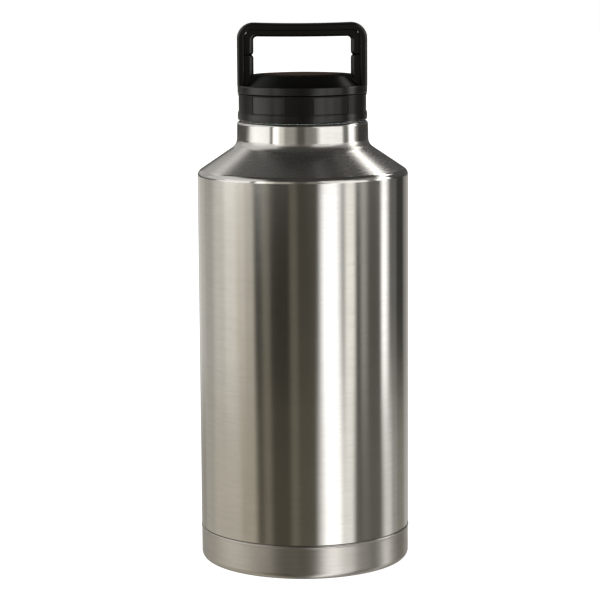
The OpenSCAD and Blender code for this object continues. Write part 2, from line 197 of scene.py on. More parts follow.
@dataclass
class Shape:
    """The points and faces of one piece, gathered before its mesh is made.

    Args:
        spots: The points so far, in metres.
        faces: The faces so far, as indices of points.
    """

    spots: list[Place] = field(default_factory=list)
    faces: list[tuple[int, ...]] = field(default_factory=list)

    def net(self, rows: list[list[Place]], joined: bool = False, capped: bool = False) -> None:
        """Adds a net of four-sided faces whose rows each close on themselves.

        Args:
            rows: The rows of points, all of one length.
            joined: Whether the last row joins the first.
            capped: Whether the first and last rows are closed with one face each.
        """
        start, width = len(self.spots), len(rows[0])
        for row in rows:
            self.spots += row
        for i in range(len(rows) if joined else len(rows) - 1):
            here, there = start + i * width, start + (i + 1) % len(rows) * width
            for k in range(width):
                n = (k + 1) % width
                self.faces.append((here + k, here + n, there + n, there + k))
        if capped:
            last = start + (len(rows) - 1) * width
            self.faces.append(tuple(start + k for k in reversed(range(width))))
            self.faces.append(tuple(last + k for k in range(width)))

    def spin(
        self,
        outline: list[Spot],
        angles: list[float],
        shift: Callable[[float, float, float], float] | None = None,
    ) -> None:
        """Turns a closed outline about Z.

        Args:
            outline: The outline's points as (r, z).
            angles: The angles of the columns, in radians from +X.
            shift: Gives the change of radius at (angle, r, z), where the piece isn't quite round.
        """
        rows = []
        for r, z in outline:
            row = []
            for angle in angles:
                reach = r + (shift(angle, r, z) if shift else 0.0)
                row.append((reach * math.cos(angle), reach * math.sin(angle), z))
            rows.append(row)
        self.net(rows, joined=True)

    def build(self, name: str, sharp: float = math.radians(34)) -> Piece:
        """Makes the mesh object.

        Args:
            name: The piece's name.
            sharp: Edges that turn by more than this, in radians, stay crisp.

        Returns:
            The object, with even normals and outward faces.
        """
        mesh = bpy.data.meshes.new(name)
        mesh.from_pydata(self.spots, [], self.faces)
        work = bmesh.new()
        work.from_mesh(mesh)
        bmesh.ops.remove_doubles(work, verts=work.verts, dist=1e-7)
        bmesh.ops.recalc_face_normals(work, faces=work.faces)
        work.to_mesh(mesh)
        work.free()
        mesh.shade_smooth()
        mesh.set_sharp_from_angle(angle=sharp)
        piece = bpy.data.objects.new(name, mesh)
        bpy.context.scene.collection.objects.link(piece)
        even = piece.modifiers.new("even_normals", "WEIGHTED_NORMAL")
        even.keep_sharp = True
        return piece


def turned(
    name: str,
    outline: list[Spot],
    angles: list[float],
    shift: Callable[[float, float, float], float] | None = None,
) -> Piece:
    """Makes a piece that is one outline turned about Z.

    Args:
        name: The piece's name.
        outline: The outline's points as (r, z).
        angles: The angles of the columns, in radians from +X.
        shift: Gives the change of radius at (angle, r, z), where the piece isn't quite round.

    Returns:
        The piece.
    """
    shape = Shape()
    shape.spin(outline, angles, shift)
    return shape.build(name)


def lies_flat(face: bpy.types.MeshPolygon) -> bool:
    """Whether a face looks mostly up or down."""
    return abs(face.normal.z) > 0.7


# ---- shader graphs ----


class Graph:
    """A node tree with short calls for adding and joining nodes."""

    def __init__(self, tree: bpy.types.NodeTree) -> None:
        """Keeps the tree that the nodes go into."""
        self.tree = tree

    def add(self, kind: str, **settings: object) -> bpy.types.Node:
        """Adds one node and sets its properties.

        Args:
            kind: The node's type name.
            settings: Properties of the node by name.

        Returns:
            The new node.
        """
        node = self.tree.nodes.new(kind)
        for key, value in settings.items():
            setattr(node, key, value)
        return node

    def feed(self, socket: Socket, value: object) -> None:
        """Joins a socket to another node's output, or sets its number or colour.

        Args:
            socket: The input that is fed.
            value: An output, a number or a colour.
        """
        if isinstance(value, Socket):
            self.tree.links.new(value, socket)
        else:
            socket.default_value = value

    def sum(self, operation: str, first: object, second: object = 0.0, third: object = 0.0) -> Socket:
        """Adds a math node.

        Args:
            operation: The node's operation.
            first: First value or output.
            second: Second value or output.
            third: Third value or output.

        Returns:
            The node's output.
        """
        node = self.add("ShaderNodeMath", operation=operation)
        for socket, value in zip(node.inputs, (first, second, third)):
            self.feed(socket, value)
        return node.outputs[0]

    def span(self, value: object, source: Spot, target: Spot = (0.0, 1.0), smooth: bool = False) -> Socket:
        """Maps a value from one span to another and keeps it inside.

        Args:
            value: The value or output.
            source: Lowest and highest value that come in.
            target: What they become.
            smooth: Whether the ends are eased.

        Returns:
            The mapped value's output.
        """
        node = self.add("ShaderNodeMapRange", interpolation_type="SMOOTHSTEP" if smooth else "LINEAR")
        for socket, number in zip(node.inputs, (value, *source, *target)):
            self.feed(socket, number)
        return node.outputs[0]

    def blend(self, share: object, first: object, second: object) -> Socket:
        """Mixes two colours.

        Args:
            share: How much of the second shows, from 0 to 1.
            first: First colour or output.
            second: Second colour or output.

        Returns:
            The mixed colour's output.
        """
        node = self.add("ShaderNodeMix", data_type="RGBA")
        self.feed(node.inputs[0], share)
        self.feed(node.inputs[6], first)
        self.feed(node.inputs[7], second)
        return node.outputs[2]

    def noise(self, at: object, scale: object, detail: float = 2.0, rough: float = 0.5) -> Socket:
        """Adds a noise texture.

        Args:
            at: The output that gives the place.
            scale: Features per unit of the place.
            detail: Number of finer layers.
            rough: Strength of the finer layers.

        Returns:
            The noise value's output.
        """
        node = self.add("ShaderNodeTexNoise")
        self.feed(node.inputs["Vector"], at)
        self.feed(node.inputs["Scale"], scale)
        self.fix(node.inputs, Detail=detail, Roughness=rough)
        return node.outputs[0]

    def vector(self, x: object, y: object, z: object) -> Socket:
        """Joins three values into one vector.

        Args:
            x: First value or output.
            y: Second value or output.
            z: Third value or output.

        Returns:
            The vector's output.
        """
        node = self.add("ShaderNodeCombineXYZ")
        for socket, value in zip(node.inputs, (x, y, z)):
            self.feed(socket, value)
        return node.outputs[0]

    def here(self) -> Socket:
        """Gives the place on the piece, in metres."""
        return self.add("ShaderNodeTexCoord").outputs["Object"]

    def times(self, first: object, second: object) -> Socket:
        """Multiplies two values."""
        return self.sum("MULTIPLY", first, second)

    def reach(self, x: object, y: object) -> Socket:
        """Gives the distance from the axis."""
        return self.sum("SQRT", self.sum("ADD", self.times(x, x), self.times(y, y)))

    def fix(self, sockets: Inputs, **values: object) -> None:
        """Sets unlinked sockets, whose names have _ for a space."""
        for name, value in values.items():
            sockets[name.replace("_", " ")].default_value = value

    def split(self, source: Socket) -> list[Socket]:
        """Splits a vector into its three values.

        Args:
            source: The vector's output.

        Returns:
            The outputs of its three values.
        """
        node = self.add("ShaderNodeSeparateXYZ")
        self.feed(node.inputs[0], source)
        return list(node.outputs)


class Effect(Enum):
    """The shared effects, by the names of their node groups."""

    TURNED_GRAIN = "turned_grain"
    MOULDED_SKIN = "moulded_skin"
    HANDLING = "handling"


@dataclass(frozen=True)
class Knob:
    """One named input or output of a shared effect.

    Args:
        name: The socket's name.
        value: What an input holds when nothing is set.
    """

    name: str
    value: float = 0.0


class EffectGroup:
    """A shader node group that is built once and shared by the materials."""

    effect: Effect
    inputs: tuple[Knob, ...] = ()
    outputs: tuple[Knob, ...] = ()

    def tree(self) -> bpy.types.NodeTree:
        """Gives the group's node tree, and builds it the first time."""
        found = bpy.data.node_groups.get(self.effect.value)
        return found or self.build()

    def build(self) -> bpy.types.NodeTree:
        """Makes the node tree with its named sockets and fills it in.

        Returns:
            The finished node tree.
        """
        tree = bpy.data.node_groups.new(self.effect.value, "ShaderNodeTree")
        for knob in self.inputs:
            socket = tree.interface.new_socket(knob.name, in_out="INPUT", socket_type="NodeSocketFloat")
            socket.default_value = knob.value
        for knob in self.outputs:
            tree.interface.new_socket(knob.name, in_out="OUTPUT", socket_type="NodeSocketFloat")
        graph = Graph(tree)
        source = graph.add("NodeGroupInput")
        target = graph.add("NodeGroupOutput")
        for name, value in self.fill(graph, source.outputs).items():
            graph.feed(target.inputs[name], value)
        return tree

    def fill(self, graph: Graph, knobs: bpy.types.NodeOutputs) -> dict[str, Socket]:
        """Builds the inside of the group.

        Args:
            graph: The group's graph.
            knobs: The group's inputs.

        Returns:
            The output that feeds each named output of the group.
        """
        raise NotImplementedError

    def place(self, graph: Graph, **values: object) -> bpy.types.NodeOutputs:
        """Puts the group into a material.

        Args:
            graph: The material's graph.
            values: Values of the group's inputs by name.

        Returns:
            The placed group's outputs.
        """
        node = graph.add("ShaderNodeGroup", node_tree=self.tree())
        for name, value in values.items():
            graph.feed(node.inputs[name], value)
        return node.outputs


class TurnedGrain(EffectGroup):
    """Fine lines that run round the axis, as belt brushing leaves on a turned bottle.

    Attributes:
        band_share: Number of broad bands for each fine line.
        band_height: Height of the bands against that of the fine lines.
    """

    effect = Effect.TURNED_GRAIN
    inputs = (Knob("Lines", 1100.0), Knob("Slope", -1.0), Knob("Length", 4.0))
    outputs = (Knob("Hairlines"), Knob("Bands"), Knob("Height"))
    band_share = 0.11
    band_height = 0.35

    def fill(self, graph: Graph, knobs: bpy.types.NodeOutputs) -> dict[str, Socket]:
        """Builds noise that is short along the wall and long round it.

        Args:
            graph: The group's graph.
            knobs: The group's inputs.

        Returns:
            Fine lines, broad bands and their joint height.
        """
        x, y, z = graph.split(graph.here())
        reach = graph.reach(x, y)
        safe = graph.sum("MAXIMUM", reach, 0.1 * MM)
        along = graph.sum("MULTIPLY_ADD", reach, knobs["Slope"], z)
        round_x = graph.times(graph.sum("DIVIDE", x, safe), knobs["Length"])
        round_y = graph.times(graph.sum("DIVIDE", y, safe), knobs["Length"])
        fine = graph.vector(round_x, round_y, graph.times(along, knobs["Lines"]))
        broad = graph.times(knobs["Lines"], self.band_share)
        wide = graph.vector(round_x, round_y, graph.times(along, broad))
        hair = graph.noise(fine, 1.0, 3.0, 0.65)
        bands = graph.noise(wide, 0.6, 2.0, 0.5)
        height = graph.sum("MULTIPLY_ADD", bands, self.band_height, hair)
        return {"Hairlines": hair, "Bands": bands, "Height": height}


class MouldedSkin(EffectGroup):
    """The fine skin of spark-eroded moulded plastic, with a slow swell from shrinkage."""

    effect = Effect.MOULDED_SKIN
    inputs = (Knob("Grain", 2600.0), Knob("Swell", 60.0))
    outputs = (Knob("Pores"), Knob("Flow"), Knob("Height"))

    def fill(self, graph: Graph, knobs: bpy.types.NodeOutputs) -> dict[str, Socket]:
        """Builds a pebbled noise over a slow one.

        Args:
            graph: The group's graph.
            knobs: The group's inputs.

        Returns:
            Fine pores, slow flow marks and their joint height.
        """
        place = graph.here()
        pores = graph.noise(place, knobs["Grain"], 2.0, 0.6)
        flow = graph.noise(place, knobs["Swell"], 1.0, 0.5)
        return {"Pores": pores, "Flow": flow, "Height": graph.sum("MULTIPLY_ADD", flow, 0.5, pores)}


class Handling(EffectGroup):
    """Faint smudges and dust where hands and shelves touch a surface.

    Attributes:
        bare: Noise below which a surface stays clean when the reach is 0.
        spread: How much a reach of 1 lowers that.
        crisp: Steepness of a smudge's edge.
        grit: Specks of dust per metre.
        sparse: Noise between which a speck comes out.
    """

    effect = Effect.HANDLING
    inputs = (Knob("Patches", 28.0), Knob("Reach", 0.5))
    outputs = (Knob("Smudge"), Knob("Dust"))
    bare = 0.78
    spread = 0.4
    crisp = 5.0
    grit = 1900.0
    sparse = (0.74, 0.8)

    def fill(self, graph: Graph, knobs: bpy.types.NodeOutputs) -> dict[str, Socket]:
        """Builds soft patches and sparse specks.

        Args:
            graph: The group's graph.
            knobs: The group's inputs.

        Returns:
            Masks of the smudges and of the dust.
        """
        place = graph.here()
        patches = graph.noise(place, knobs["Patches"], 3.0, 0.55)
        edge = graph.sum("SUBTRACT", self.bare, graph.times(knobs["Reach"], self.spread))
        smudge = graph.span(patches, (0.0, 1.0))
        soft = graph.times(graph.sum("SUBTRACT", smudge, edge), self.crisp)
        mask = graph.span(soft, (0.0, 1.0), smooth=True)
        specks = graph.span(graph.noise(place, self.grit, 1.0, 0.5), self.sparse, smooth=True)
        return {"Smudge": mask, "Dust": specks}


GRAIN, SKIN, HANDS = TurnedGrain(), MouldedSkin(), Handling()


# ---- finishes ----


@dataclass(frozen=True)
class Finish:
    """What every finish has: its name, its two close tones and its gloss.

    Args:
        name: The material's name.
        slot: The record's material slot that the finish belongs to; it is not used.
        light: The lighter tone.
        dark: The darker tone.
        gloss: Lowest and highest roughness.
        relief: Depth of the surface relief, in metres.
    """

    name: str
    slot: str
    light: Colour
    dark: Colour
    gloss: Spot
    relief: float

    @property
    def title(self) -> str:
        """The material's full name, which no imported material has."""
        return f"finish_{self.name}"

    def material(self) -> bpy.types.Material:
        """Gives the material, and builds it the first time."""
        found = bpy.data.materials.get(self.title)
        return found or self.build()

    def build(self) -> bpy.types.Material:
        """Makes the material around one Principled shader.

        Returns:
            The finished material.
        """
        material = bpy.data.materials.new(self.title)
        material.use_nodes = True
        material.node_tree.nodes.clear()
        graph = Graph(material.node_tree)
        shader = graph.add("ShaderNodeBsdfPrincipled")
        graph.feed(graph.add("ShaderNodeOutputMaterial").inputs["Surface"], shader.outputs[0])
        self.fill(graph, shader.inputs)
        return material

    def fill(self, graph: Graph, shader: Inputs) -> None:
        """Joins the finish's own nodes to the shader.

        Args:
            graph: The material's graph.
            shader: The Principled shader's inputs.
        """
        raise NotImplementedError

    def tones(self, graph: Graph, share: object) -> Socket:
        """Mixes the light and the dark tone."""
        return graph.blend(share, (*self.light, 1.0), (*self.dark, 1.0))

    def dull(self, graph: Graph, shader: Inputs, rough: Socket, smudge: Socket, smear: float) -> None:
        """Feeds the shader's roughness, lifted where smudges are.

        Args:
            graph: The material's graph.
            shader: The Principled shader's inputs.
            rough: The clean surface's roughness.
            smudge: The smudges' mask.
            smear: How much rougher a smudge makes the surface.
        """
        graph.feed(shader["Roughness"], graph.sum("MULTIPLY_ADD", smudge, smear, rough))

    def emboss(self, graph: Graph, shader: Inputs, height: object) -> None:
        """Feeds the shader's normal from a height.

        Args:
            graph: The material's graph.
            shader: The Principled shader's inputs.
            height: The output that gives the height, from 0 to 1.
        """
        bump = graph.add("ShaderNodeBump")
        graph.fix(bump.inputs, Strength=1.0, Distance=self.relief)
        graph.feed(bump.inputs["Height"], height)
        graph.feed(shader["Normal"], bump.outputs[0])

    def dress(self, *pieces: Piece) -> None:
        """Gives the finish to whole pieces.

        Args:
            pieces: The pieces.
        """
        for piece in pieces:
            piece.data.materials.clear()
            piece.data.materials.append(self.material())


@dataclass(frozen=True)
class BrushedSteel(Finish):
    """Stainless steel brushed round the axis.

    Args:
        lines: Brushing lines per metre.
        slope: -1 on walls that narrow upwards and 1 on those that widen.
        stretch: How much longer highlights are across the lines than along them.
        haze: How much the broad bands darken the tone.
        smear: How much rougher a smudge makes the surface.
    """

    lines: float = 1100.0
    slope: float = -1.0
    stretch: float = 0.78
    haze: float = 0.5
    smear: float = 0.018

    def fill(self, graph: Graph, shader: Inputs) -> None:
        """Feeds tone, gloss and relief from the turned grain and the smudges.

        Args:
            graph: The material's graph.
            shader: The Principled shader's inputs.
        """
        grain = GRAIN.place(graph, Lines=self.lines, Slope=self.slope)
        hands = HANDS.place(graph, Patches=22.0, Reach=0.45)
        lines = graph.span(grain["Hairlines"], MOST)
        share = graph.sum("MULTIPLY_ADD", graph.span(grain["Bands"], MIDDLE), self.haze, lines)
        graph.feed(shader["Base Color"], self.tones(graph, graph.sum("DIVIDE", share, 1 + self.haze)))
        rough = graph.span(lines, (0.0, 1.0), self.gloss)
        self.dull(graph, shader, rough, hands["Smudge"], self.smear)
        graph.fix(shader, Metallic=1.0, Anisotropic=self.stretch, Anisotropic_Rotation=0.25)
        tangent = graph.add("ShaderNodeTangent", direction_type="RADIAL", axis="Z")
        graph.feed(shader["Tangent"], tangent.outputs[0])
        self.emboss(graph, shader, grain["Height"])


@dataclass(frozen=True)
class MouldedPlastic(Finish):
    """Satin moulded plastic.

    Args:
        grain: Pebbles of the mould's skin per metre.
        scuff: How much the smudges lift the dark tone.
        shine: Strength of the mirror part of the finish.
        smear: How much rougher a smudge makes the surface.
    """

    grain: float = 2600.0
    scuff: float = 0.35
    shine: float = 0.45
    smear: float = 0.04

    def fill(self, graph: Graph, shader: Inputs) -> None:
        """Feeds tone, gloss and relief from the moulded skin and the smudges.

        Args:
            graph: The material's graph.
            shader: The Principled shader's inputs.
        """
        skin = SKIN.place(graph, Grain=self.grain)
        hands = HANDS.place(graph, Patches=40.0, Reach=0.5)
        worn = graph.times(hands["Smudge"], self.scuff)
        graph.feed(shader["Base Color"], self.tones(graph, graph.sum("MAXIMUM", worn, hands["Dust"])))
        rough = graph.span(skin["Flow"], MOST, self.gloss)
        self.dull(graph, shader, rough, hands["Smudge"], self.smear)
        graph.fix(shader, Specular_IOR_Level=self.shine)
        self.emboss(graph, shader, skin["Height"])


@dataclass(frozen=True)
class InlayWithPaintedReflection(Finish):
    """The disc let into the dome, glossy over a mottled ground; its dark brown tone is a painted reflection
    of the warm surroundings that its top mirrors at a grazing angle.

    Args:
        coat: Weight of the clear top layer.
        rim: Radii between which the painted brown reflection turns to black, in metres.
        rim_tone: Tone of the black rim.
        smear: How much rougher a smudge makes the surface.
    """

    coat: float = 0.04
    rim: Spot = (20 * MM, 22.5 * MM)
    rim_tone: Colour = (0.006, 0.006, 0.0055)
    smear: float = 0.08

    def fill(self, graph: Graph, shader: Inputs) -> None:
        """Feeds a brown tone, painted in for a reflection, and relief from a mottled noise under a clear
        coat.

        Args:
            graph: The material's graph.
            shader: The Principled shader's inputs.
        """
        grain = GRAIN.place(graph, Lines=900.0, Slope=1.0, Length=2.0)
        skin = SKIN.place(graph, Grain=420.0, Swell=90.0)
        hands = HANDS.place(graph, Patches=70.0, Reach=0.4)
        share = graph.times(graph.sum("ADD", skin["Pores"], grain["Bands"]), 0.5)
        x, y, _ = graph.split(graph.here())
        reach = graph.reach(x, y)
        # Painted reflection: the mottled brown stands in for the warm surroundings that the top mirrors, and
        # turns to black towards the rim.
        brown = self.tones(graph, graph.span(share, MIDDLE))
        edge = graph.span(reach, self.rim, smooth=True)
        graph.feed(shader["Base Color"], graph.blend(edge, brown, (*self.rim_tone, 1.0)))
        rough = graph.span(skin["Flow"], MOST, self.gloss)
        self.dull(graph, shader, rough, hands["Smudge"], self.smear)
        # The disc's own mirror part is nearly off, so the painted brown carries its reflection.
        graph.fix(shader, Coat_Weight=self.coat, Coat_Roughness=0.12, Specular_IOR_Level=0.02)
        self.emboss(graph, shader, skin["Height"])


@dataclass(frozen=True)
class Elastomer(Finish):
    """Pale translucent silicone."""

    def fill(self, graph: Graph, shader: Inputs) -> None:
        """Feeds tone, gloss and relief from a soft skin.

        Args:
            graph: The material's graph.
            shader: The Principled shader's inputs.
        """
        skin = SKIN.place(graph, Grain=1500.0, Swell=120.0)
        hands = HANDS.place(graph, Patches=90.0, Reach=0.5)
        worn = graph.sum("MAXIMUM", hands["Smudge"], hands["Dust"])
        graph.feed(shader["Base Color"], self.tones(graph, worn))
        graph.feed(shader["Roughness"], graph.span(skin["Flow"], MOST, self.gloss))
        graph.fix(shader, Subsurface_Weight=0.25, Subsurface_Scale=1.5 * MM)
        self.emboss(graph, shader, skin["Height"])


@dataclass(frozen=True)
class CellFoam(Finish):
    """Rigid insulating foam with open cells, with painted shade in the cells' pits.

    Args:
        cells: Cells per metre.
    """

    cells: float = 1400.0

    def fill(self, graph: Graph, shader: Inputs) -> None:
        """Feeds gloss and relief from round cells, and paints shade into their pits in the tone.

        Args:
            graph: The material's graph.
            shader: The Principled shader's inputs.
        """
        place = graph.here()
        cells = graph.add("ShaderNodeTexVoronoi")
        graph.feed(cells.inputs["Vector"], place)
        cells.inputs["Scale"].default_value = self.cells
        hole = graph.span(cells.outputs["Distance"], (0.1, 0.6), (1.0, 0.0), smooth=True)
        # Painted shade: the tone darkens towards each cell's middle, down in its pit.
        graph.feed(shader["Base Color"], self.tones(graph, hole))
        graph.feed(shader["Roughness"], graph.span(hole, (0.0, 1.0), self.gloss))
        self.emboss(graph, shader, graph.sum("SUBTRACT", 1.0, hole))


@dataclass(frozen=True)
class WrappedFoil(Finish):
    """Bright radiation foil, creased where it is wrapped, with painted shade along the creases."""

    def fill(self, graph: Graph, shader: Inputs) -> None:
        """Feeds gloss and relief from creases, and paints shade along them into the tone.

        Args:
            graph: The material's graph.
            shader: The Principled shader's inputs.
        """
        place = graph.here()
        crease = graph.add("ShaderNodeTexVoronoi", feature="DISTANCE_TO_EDGE")
        graph.feed(crease.inputs["Vector"], place)
        crease.inputs["Scale"].default_value = 130.0
        fold_and_shade = graph.span(crease.outputs["Distance"], (0.0, 0.12), (1.0, 0.0), smooth=True)
        wave = graph.noise(place, 260.0, 3.0, 0.6)
        # Painted shade: the tone is darker along the creases.
        graph.feed(shader["Base Color"], self.tones(graph, fold_and_shade))
        graph.feed(shader["Roughness"], graph.span(wave, MOST, self.gloss))
        graph.fix(shader, Metallic=1.0)
        self.emboss(graph, shader, graph.sum("MULTIPLY_ADD", fold_and_shade, 0.6, wave))


@dataclass(frozen=True)
class FusedLump(Finish):
    """What is pressed or melted in one lump: the getter's metal powder and the glass bead of the seal.

    Args:
        grain: Grains per metre.
        swell: Slow swells per metre.
        tone_from: The output of the moulded skin that mixes the two tones.
        metal: How much of it is metal.
        coat: Weight of the clear top layer.
    """

    grain: float = 2200.0
    swell: float = 300.0
    tone_from: str = "Pores"
    metal: float = 0.0
    coat: float = 0.0

    def fill(self, graph: Graph, shader: Inputs) -> None:
        """Feeds tone, gloss and relief from the grains.

        Args:
            graph: The material's graph.
            shader: The Principled shader's inputs.
        """
        skin = SKIN.place(graph, Grain=self.grain, Swell=self.swell)
        graph.feed(shader["Base Color"], self.tones(graph, graph.span(skin[self.tone_from], MIDDLE)))
        graph.feed(shader["Roughness"], graph.span(skin["Pores"], MOST, self.gloss))
        graph.fix(shader, Metallic=self.metal, Coat_Weight=self.coat, Coat_Roughness=0.05)
        self.emboss(graph, shader, skin["Height"])


SHELL_STEEL = BrushedSteel(
    "shell_steel", "brushed_shell", (0.645, 0.636, 0.62), (0.58, 0.572, 0.556), (0.115, 0.135), 0.004 * MM,
    stretch=0.35,
)
NECK_STEEL = BrushedSteel(
    "neck_steel", "brushed_shell", (0.66, 0.65, 0.635), (0.62, 0.61, 0.595), (0.09, 0.11), 0.002 * MM,
    stretch=0.3,
)
CONE_STEEL = replace(SHELL_STEEL, name="cone_steel", gloss=(0.24, 0.28), stretch=0.5)
CUP_STEEL = BrushedSteel(
    "cup_steel", "brushed_cup", (0.56, 0.54, 0.515), (0.47, 0.45, 0.43), (0.29, 0.33), 0.006 * MM,
    lines=900.0, slope=1.0, stretch=0.7,
)
VESSEL_STEEL = BrushedSteel(
    "vessel_steel", "bare_steel", (0.68, 0.67, 0.65), (0.6, 0.59, 0.57), (0.24, 0.3), 0.004 * MM, lines=700.0
)
BLACK_PLASTIC = MouldedPlastic(
    "black_plastic", "black_plastic", (0.0038, 0.0037, 0.0035), (0.0095, 0.0092, 0.0087), (0.17, 0.22),
    0.003 * MM,
)
# A copy of the black plastic for the dome: its lower gloss and shine are the dome's finish, its lifted tone
# is painted light for the brightness the dome shows.
DOME_PLASTIC_PAINTED_LIGHT = MouldedPlastic(
    "dome_plastic_painted_light", "black_plastic", (0.0052, 0.0051, 0.0048), (0.008, 0.0078, 0.0074), (0.24, 0.3),
    0.003 * MM, shine=0.1,
)
# A copy for the collar's ribs and rims round the grip panels: the lower gloss is their finish, the lifted
# tone is painted light, so the raised ribs read lighter than the recessed panels.
RIB_PLASTIC_PAINTED_LIGHT = replace(DOME_PLASTIC_PAINTED_LIGHT, name="rib_plastic_painted_light", gloss=(0.22, 0.28), relief=0.004 * MM, shine=0.2)
# Painted shade: a near-black plastic with no mirror part, laid on the faces that meet across the narrow notch
# between each lug and the grip half.
NOTCH_SHADE_PLASTIC = MouldedPlastic(
    "notch_painted_shade", "black_plastic", (0.002, 0.002, 0.002), (0.005, 0.005, 0.005), (0.5, 0.6), 0.003 * MM,
    shine=0.0,
)
LINER_PLASTIC = MouldedPlastic(
    "liner_plastic", "liner_plastic", (0.03, 0.03, 0.03), (0.05, 0.05, 0.05), (0.36, 0.44), 0.01 * MM
)
# The disc's brown tone is a painted reflection of warm surroundings.
INLAY_PAINTED_REFLECTION = InlayWithPaintedReflection(
    "brown_inlay", "brown_inlay", (0.17, 0.115, 0.085), (0.12, 0.078, 0.056), (0.4, 0.5), 0.004 * MM
)
SILICONE = Elastomer("silicone", "silicone", (0.78, 0.78, 0.76), (0.7, 0.69, 0.66), (0.4, 0.5), 0.01 * MM)
FOAM = CellFoam("foam", "foam", (0.78, 0.7, 0.48), (0.55, 0.47, 0.3), (0.8, 0.95), 0.15 * MM)
FOIL = WrappedFoil("foil", "foil", (0.86, 0.6, 0.42), (0.7, 0.46, 0.31), (0.14, 0.26), 0.25 * MM)
GETTER = FusedLump(
    "getter_metal", "getter_metal", (0.16, 0.16, 0.17), (0.27, 0.27, 0.28), (0.6, 0.8), 0.05 * MM, metal=0.7
)
SEAL_GLASS = FusedLump(
    "seal_glass", "seal_glass", (0.03, 0.045, 0.04), (0.06, 0.08, 0.07), (0.08, 0.16), 0.01 * MM,
    grain=700.0, swell=220.0, tone_from="Flow", coat=0.8,
)


# ---- pieces ----


class SubAssembly:
    """A group of pieces that rides on the frame's bodies."""

    def ride(self, piece: Piece, body: str, finish: Finish, *nodes: str) -> Piece:
        """Puts a new piece on its body, in its finish, in place of its CAD nodes.

        Args:
            piece: The new piece.
            body: The CAD body that it moves with.
            finish: The finish that it takes.
            nodes: The CAD nodes that it stands for.

        Returns:
            The piece.
        """
        finish.dress(piece)
        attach(piece, body)
        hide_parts(*nodes)
        log.info("built %s on %s for %s", piece.name, body, ", ".join(nodes))
        return piece

    def patch(self, piece: Piece, finish: Finish, where: Callable[[bpy.types.MeshPolygon], bool]) -> None:
        """Gives some faces of a piece another finish.

        Args:
            piece: The piece.
            finish: The finish of those faces.
            where: Tells whether a face takes it.
        """
        piece.data.materials.append(finish.material())
        index = len(piece.data.materials) - 1
        for face in piece.data.polygons:
            if where(face):
                face.material_index = index

    def keep(self, finish: Finish, *nodes: str) -> None:
        """Dresses CAD nodes whose shape stays as it is.

        Args:
            finish: The finish that they take.
            nodes: The nodes' names.
        """
        for name in nodes:
            finish.dress(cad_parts[name])
            log.info("dressed %s in %s", name, finish.name)


